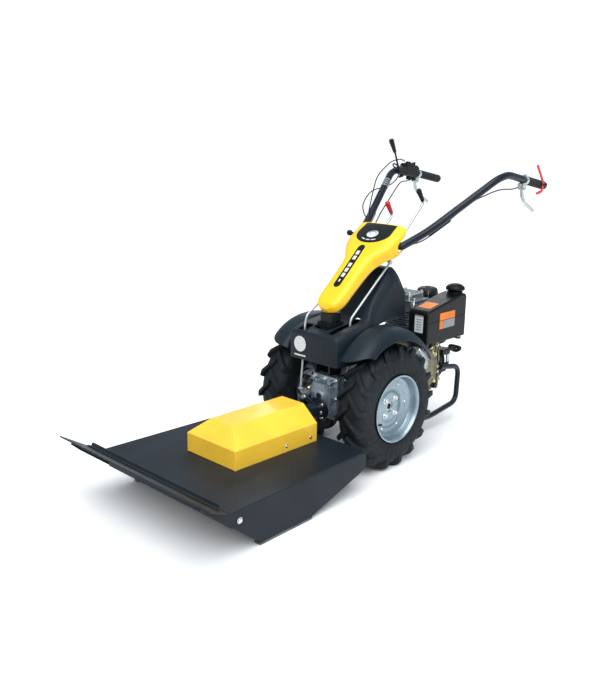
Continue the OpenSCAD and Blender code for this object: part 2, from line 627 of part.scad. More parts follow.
module deck_gearbox() color([0.35, 0.36, 0.38]) difference() {
    union() {
        translate([rotor_x, 0, deck_z + 0.1]) cylinder(h = 10, r = 92);
        translate([rotor_x, 0, deck_z + 5]) cylinder(h = 104, r = 75);
        along_x(340, 0, hitch_z) cylinder(h = 200, r = 40);
        along_x(333, 0, hitch_z) cylinder(h = 12, r = 52);
    }
    translate([rotor_x, 0, 178]) cylinder(h = 90, r = 67);
    translate([rotor_x, 0, 150]) cylinder(h = 60, r = 20 + fit);
    along_x(320, 0, hitch_z) cylinder(h = 240, r = 15 + fit);
}

module hitch_tube() color([0.07, 0.07, 0.08]) difference() {
    union() {
        along_x(129, 0, hitch_z) cylinder(h = 60, r = 30);
        along_x(162, 0, hitch_z) cylinder(h = 14, r = 52);
        along_x(170, 0, hitch_z) cylinder(h = 155, r = 34);
        along_x(321, 0, hitch_z) cylinder(h = 11.9, r = 52);
    }
    along_x(120, 0, hitch_z) cylinder(h = 220, r = 22);
}

module input_shaft() color([0.6, 0.6, 0.62]) {
    along_x(166, 0, hitch_z) cylinder(h = 390, r = 15);
    difference() {
        along_x(132, 0, hitch_z) cylinder(h = 36, r = 20);
        along_x(120, 0, hitch_z) cylinder(h = 38, r = 11 + fit);
    }
    along_x(556, 0, hitch_z) cylinder(h = 18, r1 = 43.4, r2 = 25.4);
}

module rotor() color([0.5, 0.5, 0.52]) {
    translate([rotor_x, 0, 84]) cylinder(h = 178, r = 20);
    translate([rotor_x, 0, hitch_z - 44]) cylinder(h = 18, r1 = 43.4, r2 = 25.4);
    translate([rotor_x, 0, 80]) cylinder(h = 26, r = 45);
    translate([rotor_x - 35, -215, 80]) cube([70, 430, 12]);
    for (s = [-1, 1]) translate([rotor_x, s * 190, 0]) {
        translate([0, 0, 58]) cylinder(h = 24, r = 8);
        translate([0, 0, 50]) cylinder(h = 10, r = 14, $fn = 6);
    }
}

// A swinging knife on its own bolt of the rotor
module knife(side) difference() {
    translate([rotor_x, side * 190, 64]) linear_extrude(10) polygon([[-25, -side * 24],
        [25, -side * 24], [25, side * 118], [0, side * (blade_r - 190)], [-25, side * 118]]);
    translate([rotor_x, side * 190, 60]) cylinder(h = 20, r = 8 + fit);
}
module left_knife() color([0.7, 0.7, 0.72]) knife(1);
module right_knife() color([0.7, 0.7, 0.72]) knife(-1);

placed() gearbox_housing();
placed() clutch_housing();
placed() column_mount();
placed() pivot_pin();
placed() hood();
placed() left_fender();
placed() right_fender();
placed() crankcase();
placed() cylinder_barrel();
placed() cylinder_head();
placed() fan_housing();
placed() fuel_tank();
placed() air_cleaner();
placed() muffler();
placed() rear_bumper();
placed() left_tyre();
placed() left_rim();
placed() left_axle();
placed() left_wheel_bolts();
placed() right_tyre();
placed() right_rim();
placed() right_axle();
placed() right_wheel_bolts();
placed() crankshaft();
placed() output_shaft();
placed() recoil_handle();
placed() fuel_cap();
placed() column();
placed() cowl();
placed() dash_panel();
placed() left_handle();
placed() right_handle();
placed() grips();
placed() control_box();
placed() lever_brackets();
placed() control_cables();
placed() left_hand_lever();
placed() right_hand_lever();
placed() stop_lever();
placed() gear_lever();
placed() throttle_lever();
placed() red_lever();
placed() black_lever();
placed() left_shift_rod();
placed() right_shift_rod();
placed() lock_knob();
placed() deck_plate();
placed() left_skirt();
placed() right_skirt();
placed() front_lip();
placed() deck_braces();
placed() skid_soles();
placed() gear_cover();
placed() deck_bolts();
placed() deck_gearbox();
placed() hitch_tube();
placed() input_shaft();
placed() rotor();
placed() left_knife();
placed() right_knife();
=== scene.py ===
import json
import math
import bmesh
import bpy
from mathutils import Matrix, Vector


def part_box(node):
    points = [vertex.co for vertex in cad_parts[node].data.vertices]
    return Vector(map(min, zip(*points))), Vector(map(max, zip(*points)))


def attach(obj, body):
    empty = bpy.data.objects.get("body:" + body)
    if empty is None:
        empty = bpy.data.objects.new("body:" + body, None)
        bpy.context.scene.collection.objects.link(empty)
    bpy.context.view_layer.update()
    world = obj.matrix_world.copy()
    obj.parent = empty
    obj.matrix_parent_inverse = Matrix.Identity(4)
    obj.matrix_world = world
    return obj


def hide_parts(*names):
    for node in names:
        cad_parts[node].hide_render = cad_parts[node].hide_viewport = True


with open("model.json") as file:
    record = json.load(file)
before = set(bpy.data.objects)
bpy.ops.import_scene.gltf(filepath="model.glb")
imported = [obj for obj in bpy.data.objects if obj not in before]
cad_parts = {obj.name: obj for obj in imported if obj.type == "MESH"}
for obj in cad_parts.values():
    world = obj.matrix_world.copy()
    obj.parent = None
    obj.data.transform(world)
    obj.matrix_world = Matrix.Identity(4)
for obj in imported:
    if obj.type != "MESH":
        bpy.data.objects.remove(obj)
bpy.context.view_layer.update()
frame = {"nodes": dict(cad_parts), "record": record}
scene = bpy.context.scene
MM = 0.001
SIDES = ((1, "left"), (-1, "right"))
wheel_low, wheel_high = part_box("left_tyre")
AXLE_X = (wheel_low[0] + wheel_high[0]) / 2


def at(p):
    """Millimetres from the point on the ground below the wheel axle, as a place in the scene."""
    return Vector((p[0] * MM + AXLE_X, p[1] * MM, p[2] * MM))


def across(axis):
    """Two directions square to an axis."""
    axis = Vector(axis).normalized()
    side = Vector((0, 0, 1)) if abs(axis.z) < 0.9 else Vector((1, 0, 0))
    u = side.cross(axis).normalized()
    return u, axis.cross(u)


def circle(centre, u, v, r, steps):
    return [centre + r * (math.cos(a) * u + math.sin(a) * v)
            for a in (2 * math.pi * k / steps for k in range(steps))]


def smooth_path(points, steps=6):
    """A Catmull-Rom curve through the points."""
    p = [Vector(q) for q in points]
    p = [2 * p[0] - p[1]] + p + [2 * p[-1] - p[-2]]
    out = []
    for i in range(1, len(p) - 2):
        for s in range(steps):
            t = s / steps
            a, b, c, d = p[i - 1], p[i], p[i + 1], p[i + 2]
            out.append(0.5 * ((2 * b) + (c - a) * t + (2 * a - 5 * b + 4 * c - d) * t * t
                              + (3 * b - a - 3 * c + d) * t ** 3))
    return out + [p[-2]]


def bent_path(points, reach, steps=8):
    """Straight runs joined by round corners."""
    p = [Vector(q) for q in points]
    out = [p[0]]
    for a, b, c in zip(p, p[1:], p[2:]):
        cut = min(reach, 0.45 * (b - a).length, 0.45 * (c - b).length)
        start, end = b + (a - b).normalized() * cut, b + (c - b).normalized() * cut
        for s in range(steps + 1):
            t = s / steps
            out.append((1 - t) ** 2 * start + 2 * t * (1 - t) * b + t * t * end)
    return out + [p[-1]]


def soft_rect(x0, y0, x1, y1, r):
    """Outline of a rectangle with round corners."""
    steps = 5
    out = []
    for cx, cy, turn in ((x1 - r, y1 - r, 0), (x0 + r, y1 - r, 90), (x0 + r, y0 + r, 180),
                         (x1 - r, y0 + r, 270)):
        for s in range(steps + 1):
            a = math.radians(turn + 90 * s / steps)
            out.append((cx + r * math.cos(a), cy + r * math.sin(a)))
    return out


# Where a prism's outline goes: its plane, and the two ends of the prism across that plane
def xz(y0, y1):
    return lambda u, v, w: (u, y0 + (y1 - y0) * w, v)


def yz(x0, x1):
    return lambda u, v, w: (x0 + (x1 - x0) * w, u, v)


def xy(z0, z1):
    return lambda u, v, w: (u, v, z0 + (z1 - z0) * w)


def outward_mesh(name, points, faces):
    mesh = bpy.data.meshes.new(name)
    mesh.from_pydata([at(p) for p in points], [], faces)
    work = bmesh.new()
    work.from_mesh(mesh)
    bmesh.ops.recalc_face_normals(work, faces=work.faces)
    work.to_mesh(mesh)
    work.free()
    return mesh


class Shape:
    """Vertices and faces that are gathered and then made into one object."""

    def __init__(self, place=None):
        self.points = []
        self.faces = []
        self.place = place

    def add(self, points, faces):
        base = len(self.points)
        if self.place:
            points = [self.place @ Vector(p) for p in points]
        self.points += [Vector(p) for p in points]
        self.faces += [[base + i for i in face] for face in faces]
        return self

    def box(self, low, high):
        p = [(x, y, z) for x in (low[0], high[0]) for y in (low[1], high[1]) for z in (low[2], high[2])]
        return self.add(p, [(0, 1, 3, 2), (4, 6, 7, 5), (0, 4, 5, 1), (2, 3, 7, 6), (0, 2, 6, 4),
                            (1, 5, 7, 3)])

    def prism(self, outline, put):
        n = len(outline)
        points = [put(u, v, 0) for u, v in outline] + [put(u, v, 1) for u, v in outline]
        sides = [(i, (i + 1) % n, n + (i + 1) % n, n + i) for i in range(n)]
        return self.add(points, [list(range(n))[::-1], list(range(n, 2 * n))] + sides)

    def loft(self, rings, caps=True):
        n = len(rings[0])
        points = [p for ring in rings for p in ring]
        faces = [(i * n + j, i * n + (j + 1) % n, (i + 1) * n + (j + 1) % n, (i + 1) * n + j)
                 for i in range(len(rings) - 1) for j in range(n)]
        if caps:
            faces += [list(range(n))[::-1], list(range(len(points) - n, len(points)))]
        return self.add(points, faces)

    def revolve(self, profile, origin, axis, steps=40, closed=False):
        """Turns (radius, height) pairs round an axis; a closed profile makes a ring without end caps."""
        u, v = across(axis)
        origin, axis = Vector(origin), Vector(axis).normalized()
        if closed:
            profile = profile + profile[:1]
        return self.loft([circle(origin + axis * h, u, v, max(r, 0.01), steps) for r, h in profile],
                         not closed)

    def rod(self, start, end, r, steps=24):
        start, end = Vector(start), Vector(end)
        return self.revolve([(r, 0), (r, (end - start).length)], start, end - start, steps)

    def hexagon(self, start, end, r):
        return self.rod(start, end, r, steps=6)

    def tube(self, path, r, sides=12):
        """A round bar along a path; r is one radius or one for each point."""
        path = [Vector(p) for p in path]
        radii = r if isinstance(r, (list, tuple)) else [r] * len(path)
        side = None
        rings = []
        for i, p in enumerate(path):
            t = (path[min(i + 1, len(path) - 1)] - path[max(i - 1, 0)]).normalized()
            side = across(t)[0] if side is None else (side - side.dot(t) * t).normalized()
            rings.append(circle(p, side, t.cross(side), radii[i], sides))
        return self.loft(rings)

    def ball(self, centre, r, steps):
        profile = [(r * math.sin(math.pi * k / 12), -r * math.cos(math.pi * k / 12)) for k in range(13)]
        return self.revolve(profile, centre, (0, 0, 1), steps)

    def make(self, name, body, finish, nodes=(), bevel=0, segments=3, sharp=35, worn=None):
        mesh = outward_mesh(name, self.points, self.faces)
        piece = bpy.data.objects.new(name, mesh)
        scene.collection.objects.link(piece)
        mesh.polygons.foreach_set("use_smooth", [True] * len(mesh.polygons))
        mesh.materials.append(finish[1])
        if bevel:
            edge = piece.modifiers.new("edge", "BEVEL")
            edge.width = bevel * MM
            edge.segments = segments
            edge.limit_method = "ANGLE"
            edge.angle_limit = math.radians(sharp - 5)
            if worn:
                mesh.materials.append(worn)
                edge.material = 1
            piece.modifiers.new("even", "WEIGHTED_NORMAL")
        else:
            mesh.set_sharp_from_angle(angle=math.radians(sharp))
        if nodes:
            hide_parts(*nodes)
        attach(piece, body)
        return piece


# ---- materials --------------------------------------------------------------------------------

def new_material(name):
    material = bpy.data.materials.new(name)
    material.use_nodes = True
    return material, material.node_tree.nodes, material.node_tree.links


def noise(nodes, links, scale, detail=4.0, stretch=(1, 1, 1)):
    where = nodes.new("ShaderNodeTexCoord")
    turn = nodes.new("ShaderNodeMapping")
    turn.inputs["Scale"].default_value = stretch
    texture = nodes.new("ShaderNodeTexNoise")
    texture.inputs["Scale"].default_value = scale
    texture.inputs["Detail"].default_value = detail
    links.new(where.outputs["Object"], turn.inputs["Vector"])
    links.new(turn.outputs["Vector"], texture.inputs["Vector"])
    return texture


def blend_colours(nodes, links, factor, first, second, low=0.35, high=0.65):
    ramp = nodes.new("ShaderNodeValToRGB")
    ramp.color_ramp.elements[0].position = low
    ramp.color_ramp.elements[1].position = high
    ramp.color_ramp.elements[0].color = (*first, 1)
    ramp.color_ramp.elements[1].color = (*second, 1)
    links.new(factor, ramp.inputs["Fac"])
    return ramp.outputs["Color"]


GLOSS_SPREAD = 0.08


def surface(slot, colour, rough, metal=0.0, coat=0.0, vary=0.18, patch=9.0, grain=260.0, bump=0.12,
            stretch=(1, 1, 1), speck=None, speck_scale=60.0, speck_from=0.66, sheen=0.0):
    """A finish with broad colour patches, uneven gloss, fine grain and optional specks of dust or wear."""
    material, nodes, links = new_material(slot)
    shader = nodes["Principled BSDF"]
    shader.inputs["Metallic"].default_value = metal
    shader.inputs["Specular IOR Level"].default_value = 0.22
    shader.inputs["Coat Weight"].default_value = coat
    shader.inputs["Coat Roughness"].default_value = 0.12
    shader.inputs["Sheen Weight"].default_value = sheen
    broad = noise(nodes, links, patch)
    dark = [c * (1 - vary) for c in colour]
    light = [min(1, c * (1 + vary)) for c in colour]
    tone = blend_colours(nodes, links, broad.outputs["Fac"], dark, light)
    if speck:
        spots = noise(nodes, links, speck_scale, 8.0)
        mix = nodes.new("ShaderNodeMix")
        mix.data_type = "RGBA"
        amount = nodes.new("ShaderNodeMapRange")
        amount.inputs["From Min"].default_value = speck_from
        amount.inputs["From Max"].default_value = speck_from + 0.12
        links.new(spots.outputs["Fac"], amount.inputs["Value"])
        links.new(amount.outputs["Result"], mix.inputs["Factor"])
        links.new(tone, mix.inputs["A"])
        mix.inputs["B"].default_value = (*speck, 1)
        tone = mix.outputs["Result"]
    links.new(tone, shader.inputs["Base Color"])
    gloss = nodes.new("ShaderNodeMapRange")
    gloss.inputs["To Min"].default_value = max(0.02, rough - GLOSS_SPREAD)
    gloss.inputs["To Max"].default_value = min(1, rough + GLOSS_SPREAD)
    uneven = noise(nodes, links, patch * 2.3, 6.0)
    links.new(uneven.outputs["Fac"], gloss.inputs["Value"])
    links.new(gloss.outputs["Result"], shader.inputs["Roughness"])
    fine = noise(nodes, links, grain, 3.0, stretch)
    relief = nodes.new("ShaderNodeBump")
    relief.inputs["Strength"].default_value = bump
    relief.inputs["Distance"].default_value = 0.0006
    links.new(fine.outputs["Fac"], relief.inputs["Height"])
    links.new(relief.outputs["Normal"], shader.inputs["Normal"])
    return slot, material


def galvanised(slot, colour):
    """Zinc-coated steel with its crystals."""
    material, nodes, links = new_material(slot)
    shader = nodes["Principled BSDF"]
    shader.inputs["Metallic"].default_value = 1.0
    where = nodes.new("ShaderNodeTexCoord")
    cells = nodes.new("ShaderNodeTexVoronoi")
    cells.inputs["Scale"].default_value = 95.0
    links.new(where.outputs["Object"], cells.inputs["Vector"])
    bright = blend_colours(nodes, links, cells.outputs["Color"], [c * 0.93 for c in colour],
                           [min(1, c * 1.05) for c in colour], 0.2, 0.8)
    links.new(bright, shader.inputs["Base Color"])
    gloss = nodes.new("ShaderNodeMapRange")
    gloss.inputs["To Min"].default_value = 0.38
    gloss.inputs["To Max"].default_value = 0.46
    links.new(cells.outputs["Distance"], gloss.inputs["Value"])
    links.new(gloss.outputs["Result"], shader.inputs["Roughness"])
    fine = noise(nodes, links, 40.0, 5.0)
    relief = nodes.new("ShaderNodeBump")
    relief.inputs["Strength"].default_value = 0.04
    relief.inputs["Distance"].default_value = 0.001
    links.new(fine.outputs["Fac"], relief.inputs["Height"])
    links.new(relief.outputs["Normal"], shader.inputs["Normal"])
    return slot, material


deck_paint = surface("deck_steel", (0.010, 0.015, 0.022), 0.46, bump=0.25, grain=420, patch=5,
                     speck=(0.03, 0.035, 0.04), speck_scale=140, speck_from=0.7)
worn_paint = surface("deck_steel", (0.03, 0.035, 0.04), 0.45, metal=0.3, speck=(0.1, 0.1, 0.1),
                     speck_scale=90)[1]
cover_paint = surface("cover_yellow", (0.95, 0.58, 0.05), 0.34, coat=0.35, vary=0.05, bump=0.1, grain=300)
cowl_plastic = surface("cowl_yellow", (0.93, 0.56, 0.02), 0.36, coat=0.25, vary=0.04, bump=0.08, grain=420)
hood_plastic = surface("hood_black", (0.009, 0.015, 0.022), 0.44, bump=0.3, grain=620, vary=0.15)
fender_paint = surface("fender_black", (0.008, 0.016, 0.024), 0.4, bump=0.25, grain=620, vary=0.15)
tyre_rubber = surface("tyre_rubber", (0.008, 0.011, 0.014), 0.6, bump=0.35, grain=300, vary=0.3,
                      speck=(0.022, 0.026, 0.03), speck_scale=45, speck_from=0.62)
zinc_sheet = galvanised("galvanised", (0.34, 0.42, 0.47))
zinc_bolt = surface("bright_bolts", (0.72, 0.73, 0.74), 0.25, metal=1.0, bump=0.15, grain=700, vary=0.1)
shaft_steel = surface("shaft_steel", (0.45, 0.46, 0.48), 0.3, metal=1.0, bump=0.2, grain=500, vary=0.15)
cast_metal = surface("cast_aluminium", (0.36, 0.43, 0.49), 0.38, metal=0.85, bump=0.5, grain=380, vary=0.2,
                     speck=(0.08, 0.09, 0.1), speck_scale=50, speck_from=0.6)
olive_metal = surface("crankcase_grey", (0.20, 0.19, 0.13), 0.42, metal=0.7, bump=0.5, grain=300, vary=0.35,
                      speck=(0.04, 0.04, 0.03), speck_scale=40, speck_from=0.55)
engine_paint = surface("engine_black", (0.015, 0.016, 0.018), 0.4, bump=0.25, grain=400)
muffler_steel = surface("muffler_steel", (0.22, 0.19, 0.16), 0.45, metal=0.8, bump=0.4, grain=200, vary=0.35,
                        speck=(0.12, 0.06, 0.03), speck_scale=30, speck_from=0.58)
tank_plastic = surface("tank_black", (0.003, 0.004, 0.005), 0.38, bump=0.3, grain=240, vary=0.15)
frame_paint = surface("frame_black", (0.008, 0.012, 0.020), 0.32, coat=0.1, bump=0.15, grain=500)
panel_plastic = surface("panel_black", (0.006, 0.009, 0.009), 0.36, bump=0.2, grain=700)
grip_rubber = surface("grip_rubber", (0.008, 0.008, 0.009), 0.62, bump=0.5, grain=500, sheen=0.1)
lever_metal = surface("lever_silver", (0.52, 0.56, 0.56), 0.33, metal=0.9, bump=0.2, grain=300, vary=0.1)
red_plastic = surface("red_plastic", (0.62, 0.012, 0.015), 0.32, coat=0.3, vary=0.08, bump=0.1)
control_plastic = surface("control_plastic", (0.010, 0.011, 0.013), 0.4, bump=0.3, grain=600)
cable_plastic = surface("cable_sheath", (0.014, 0.014, 0.015), 0.42, bump=0.15, grain=800)
knife_steel = surface("knife_steel", (0.4, 0.41, 0.42), 0.32, metal=1.0, bump=0.3, grain=160, vary=0.25,
                      stretch=(8, 1, 1))
sole_steel = surface("sole_steel", (0.16, 0.16, 0.17), 0.4, metal=0.8, bump=0.3, grain=120, vary=0.3,
                     stretch=(1, 12, 1))
white_label = surface("panel_black", (0.62, 0.66, 0.68), 0.4, vary=0.05, bump=0.05)[1]
orange_label = surface("panel_black", (0.80, 0.20, 0.02), 0.4, vary=0.15, bump=0.05)[1]
grey_label = surface("panel_black", (0.25, 0.26, 0.27), 0.4, vary=0.05, bump=0.05)[1]
brass = surface("lever_silver", (0.62, 0.52, 0.3), 0.35, metal=0.8, vary=0.15, bump=0.2)

FINISHES = {f[0]: f[1] for f in (
    deck_paint, cover_paint, cowl_plastic, hood_plastic, fender_paint, tyre_rubber, zinc_sheet, zinc_bolt,
    shaft_steel, cast_metal, olive_metal, engine_paint, muffler_steel, tank_plastic, frame_paint,
    panel_plastic, grip_rubber, lever_metal, red_plastic, control_plastic, cable_plastic, knife_steel,
    sole_steel)}
slot_names = {entry["node"]: entry["material_slot"] for entry in frame["record"]["subparts"]}
for node, obj in frame["nodes"].items():
    obj.data.materials.clear()
    obj.data.materials.append(FINISHES[slot_names[node]])


# ---- camera, floor and light ------------------------------------------------------------------

def photo_camera():
    """The camera that took the photo, solved from the wheel's circles and the edges of the deck."""
    yaw, pitch, roll = math.radians(224.17), math.radians(14.61), math.radians(0.78)
    forward = Vector((math.cos(yaw) * math.cos(pitch), math.sin(yaw) * math.cos(pitch), -math.sin(pitch)))
    right = forward.cross(Vector((0, 0, 1))).normalized()
    up = right.cross(forward)
    turned_right = right * math.cos(roll) + up * math.sin(roll)
    turned_up = up * math.cos(roll) - right * math.sin(roll)
    data = bpy.data.cameras.new("camera")
    data.lens = 43.16
    data.sensor_width = 36
    data.shift_x = 0.0079
    data.shift_y = -0.0068
    data.clip_end = 50
    camera = bpy.data.objects.new("camera", data)
    turn = Matrix((turned_right, turned_up, -forward)).transposed()
    camera.matrix_world = Matrix.Translation(at((2518.1, 2144.1, 1349.3))) @ turn.to_4x4()
    scene.collection.objects.link(camera)
    scene.camera = camera


def lamp(name, place, target, size, power, colour=(1, 1, 1)):
    data = bpy.data.lights.new(name, "AREA")
    data.shape = "RECTANGLE"
    data.size, data.size_y = size
    data.energy = power
    data.color = colour
    light = bpy.data.objects.new(name, data)
    light.location = place
    light.rotation_euler = (Vector(target) - Vector(place)).to_track_quat("-Z", "Y").to_euler()
    scene.collection.objects.link(light)


photo_camera()
world = bpy.data.worlds.new("studio")
world.use_nodes = True
nodes, links = world.node_tree.nodes, world.node_tree.links
backdrop = nodes.new("ShaderNodeBackground")
backdrop.inputs["Color"].default_value = (1, 1, 1, 1)
backdrop.inputs["Strength"].default_value = 1.05
seen = nodes.new("ShaderNodeLightPath")
choose = nodes.new("ShaderNodeMixShader")
nodes["Background"].inputs["Color"].default_value = (0.86, 0.94, 1.0, 1)
nodes["Background"].inputs["Strength"].default_value = 0.5
links.new(seen.outputs["Is Camera Ray"], choose.inputs["Fac"])
links.new(nodes["Background"].outputs["Background"], choose.inputs[1])
links.new(backdrop.outputs["Background"], choose.inputs[2])
links.new(choose.outputs["Shader"], nodes["World Output"].inputs["Surface"])
scene.world = world
scene.view_settings.view_transform = "Standard"
soft_sun = bpy.data.lights.new("key", "SUN")
soft_sun.energy = 3.1
soft_sun.angle = math.radians(60)
key = bpy.data.objects.new("key", soft_sun)
key.rotation_euler = Vector((-0.55, -0.45, -1.0)).to_track_quat("-Z", "Y").to_euler()
scene.collection.objects.link(key)
lamp("side", (1.2, 3.8, 2.0), (0, 0, 0.4), (2.6, 1.2), 16, (0.86, 0.94, 1.0))
lamp("top", (-0.4, 0.2, 4.2), (0, 0, 0.4), (2.5, 2.0), 26, (0.92, 0.96, 1.0))
lamp("back", (-3.4, -2.6, 2.6), (0, 0, 0.6), (2.2, 1.6), 24)

FLOOR_REACH = 30
FLOOR_Z = -0.0006
floor_mesh = bpy.data.meshes.new("floor")
corners = ((-1, -1), (1, -1), (1, 1), (-1, 1))
floor_mesh.from_pydata([(FLOOR_REACH * x, FLOOR_REACH * y, FLOOR_Z) for x, y in corners], [], [(0, 1, 2, 3)])
floor = bpy.data.objects.new("floor", floor_mesh)
floor_mesh.materials.append(surface("floor", (0.93, 0.935, 0.94), 0.8, vary=0.01, bump=0.02)[1])
scene.collection.objects.link(floor)


# ---- wheels -----------------------------------------------------------------------------------

TYRE_R = 254
WHEEL_Y = 215
LUGS = 17
LUG_SLANT = 0.0041      # turn of a lug for each millimetre across the tread, in radians


def tyre(side, word):
    half = [(240, 0), (239.4, 14), (237, 30), (232, 44), (224, 54), (214, 60), (209, 61.6), (207, 63.2),
            (203, 63.0), (190, 64.6), (176, 64.8), (160, 63.6), (154, 63.0), (152.5, 61.6), (149.5, 61.6),
            (148, 62.6), (142, 60), (138.2, 56), (131, 48)]
    profile = [(r, -h) for r, h in reversed(half[1:])] + half + [(200, 50), (222, 30), (222, -30), (200, -50)]
    shape = Shape()
    shape.revolve(profile, (0, side * WHEEL_Y, TYRE_R), (0, side, 0), 120, closed=True)
    shape.make(f"{word}_tyre_casing", f"{word}_wheel", tyre_rubber, [f"{word}_tyre"], sharp=50)
    stations = [(-5, 254, -5, 235), (10, 254, 10, 235), (24, 254, 24, 233), (38, 253.7, 37, 229),
                (48, 252.6, 45, 224), (55, 249.6, 50, 218), (60, 243, 53, 212), (63, 232, 56, 204),
                (64.6, 218, 58, 198), (64.8, 207, 60, 196)]
    lugs = Shape()
    for hand in (1, -1):
        for k in range(LUGS):
            start = 2 * math.pi * (k + (0.5 if hand < 0 else 0)) / LUGS
            rings = []
            for h_top, r_top, h_base, r_base in stations:
                middle = start - LUG_SLANT * min(h_top, 58)
                wide = 0.066 + 0.006 * max(0, h_top) / 64
                narrow = 0.040 + 0.008 * max(0, h_top) / 64
                ring = []
                for a, r, h in ((-wide, r_base, h_base), (-narrow, r_top, h_top), (narrow, r_top, h_top),
                                (wide, r_base, h_base)):
                    ring.append((r * math.cos(middle + a), side * WHEEL_Y + hand * h,
                                 TYRE_R + r * math.sin(middle + a)))
                rings.append(ring)
            lugs.loft(rings)
    lugs.make(f"{word}_tyre_lugs", f"{word}_wheel", tyre_rubber, [f"{word}_tyre"], bevel=2.6, segments=3,
              sharp=32)
    ribs = Shape()
    for k in range(2 * LUGS):
        a = 2 * math.pi * k / (2 * LUGS) + 0.05
        rings = []
        for r, out, turn in ((157, 64.4, 0), (176, 65.3, 0.02), (196, 65.1, 0.05)):
            rings.append([((r + dr) * math.cos(a + turn + da), side * (WHEEL_Y + out + dy),
                           TYRE_R + (r + dr) * math.sin(a + turn + da))
                          for dr, da, dy in ((0, -0.008, -2.4), (0, -0.006, 0), (0, 0.006, 0),
                                             (0, 0.008, -2.4))])
        ribs.loft(rings)
    ribs.make(f"{word}_tyre_marks", f"{word}_wheel", tyre_rubber, [f"{word}_tyre"])


def rim(side, word):
    shape = Shape()
    outer = [(138, 66), (136, 66.6), (132, 65.4), (128.6, 60), (127, 52), (125.5, 40), (122, 31),
             (112, 27.5), (107, 24.5), (104, 22.8), (92, 22.6), (88, 21.2), (84, 18.4), (80, 17.6),
             (68, 17.6), (63, 19.6), (59, 22), (50, 22.2), (22, 22.2), (20.2, 20.6), (20.2, 15)]
    inner = [(22, 18.6), (58, 18.4), (64, 15), (84, 14.2), (91, 18.8), (105, 19), (109, 22), (114, 24),
             (124, 27), (128, 38), (130, 52), (132, 60), (135, 62), (138, 62)]
    shape.revolve(outer + inner, (0, side * WHEEL_Y, TYRE_R), (0, side, 0), 128, closed=True)
    back = [(138, -62), (138, -66), (134, -66), (131, -60), (128, -48), (126, -32), (108, -24), (107, 0),
            (104, 0), (103, -27), (122, -34), (124, -50), (127, -62)]
    shape.revolve(back, (0, side * WHEEL_Y, TYRE_R), (0, side, 0), 96, closed=True)
    shape.make(f"{word}_rim_disc", f"{word}_wheel", zinc_sheet, [f"{word}_rim"], sharp=40)


def wheel_details(side, word):
    centre_y = side * WHEEL_Y
    studs = Shape()
    for k in range(4):
        a = math.radians(45 + 90 * k)
        x, z = 44 * math.cos(a), TYRE_R + 44 * math.sin(a)
        face = centre_y + side * 22.0
        studs.revolve([(13, 0), (13, 1.6), (11.4, 2.4), (9, 2.4)], (x, face, z), (0, side, 0), 24)
        studs.hexagon((x, face + side * 2, z), (x, face + side * 9.4, z), 9.6)
        studs.revolve([(5.6, 0), (5.6, 11), (4.6, 12)], (x, face + side * 1, z), (0, side, 0), 20)
    studs.make(f"{word}_wheel_nuts", f"{word}_wheel", zinc_bolt, [f"{word}_wheel_bolts"], bevel=0.8,
               segments=2)
    dimples = Shape()
    for k in range(6):
        a = math.radians(60 * k)
        dimples.ball((97 * math.cos(a), centre_y + side * 21.6, TYRE_R + 97 * math.sin(a)), 6.4, 18)
    dimples.make(f"{word}_rim_rivets", f"{word}_wheel", zinc_bolt, [f"{word}_rim"])
    valve = Shape()
    a = math.radians(-27)
    foot = Vector((119 * math.cos(a), centre_y + side * 30, TYRE_R + 119 * math.sin(a)))
    tip = foot + Vector((-13 * math.cos(a), side * 18, -13 * math.sin(a)))
    valve.tube([foot, foot * 0.6 + tip * 0.4, tip], [5.2, 3.6, 3.2], 14)
    valve.tube([tip, tip + (tip - foot).normalized() * 9], 4.0, 14)
    valve.make(f"{word}_valve", f"{word}_wheel", control_plastic, [f"{word}_rim"])


for side, word in SIDES:
    tyre(side, word)
    rim(side, word)
    wheel_details(side, word)


# ---- mower deck -------------------------------------------------------------------------------

DECK_Z = 165
DECK_REAR, DECK_REAR_HALF = 292, 338
DECK_FRONT, DECK_FRONT_HALF = 968, 362
DECK_CORNER = 30
EDGE = math.atan2(DECK_FRONT_HALF - DECK_REAR_HALF, DECK_FRONT - DECK_REAR)
LIP_RUN, LIP_RISE, LIP_HALF = 127, 73, 425


def on_edge(side):
    """The frame along one side edge of the deck, from its rear corner forwards."""
    turn = Matrix.Rotation(EDGE, 4, "Z")
    frame_here = Matrix.Translation((DECK_REAR, DECK_REAR_HALF, 0)) @ turn
    return frame_here if side > 0 else Matrix.Scale(-1, 4, (0, 1, 0)) @ frame_here


LIP_SLOPE = math.atan2(LIP_RISE, LIP_RUN)
LIP_FRAME = Matrix.Translation((DECK_FRONT, 0, DECK_Z)) @ Matrix.Rotation(-LIP_SLOPE, 4, "Y")

plate = Shape()
rear_left = []
for k in range(10):
    a = math.radians(10 * k)
    rear_left.append((DECK_REAR - DECK_CORNER * math.sin(a),
                      DECK_REAR_HALF - DECK_CORNER * (1 - math.cos(a))))
outline = [(DECK_FRONT, DECK_FRONT_HALF)] + rear_left
outline += [(x, -y) for x, y in reversed(outline)]
plate.prism(outline, xy(160, DECK_Z))
plate.make("deck_top", "deck", deck_paint, ["deck_plate"], bevel=1.4, worn=worn_paint)

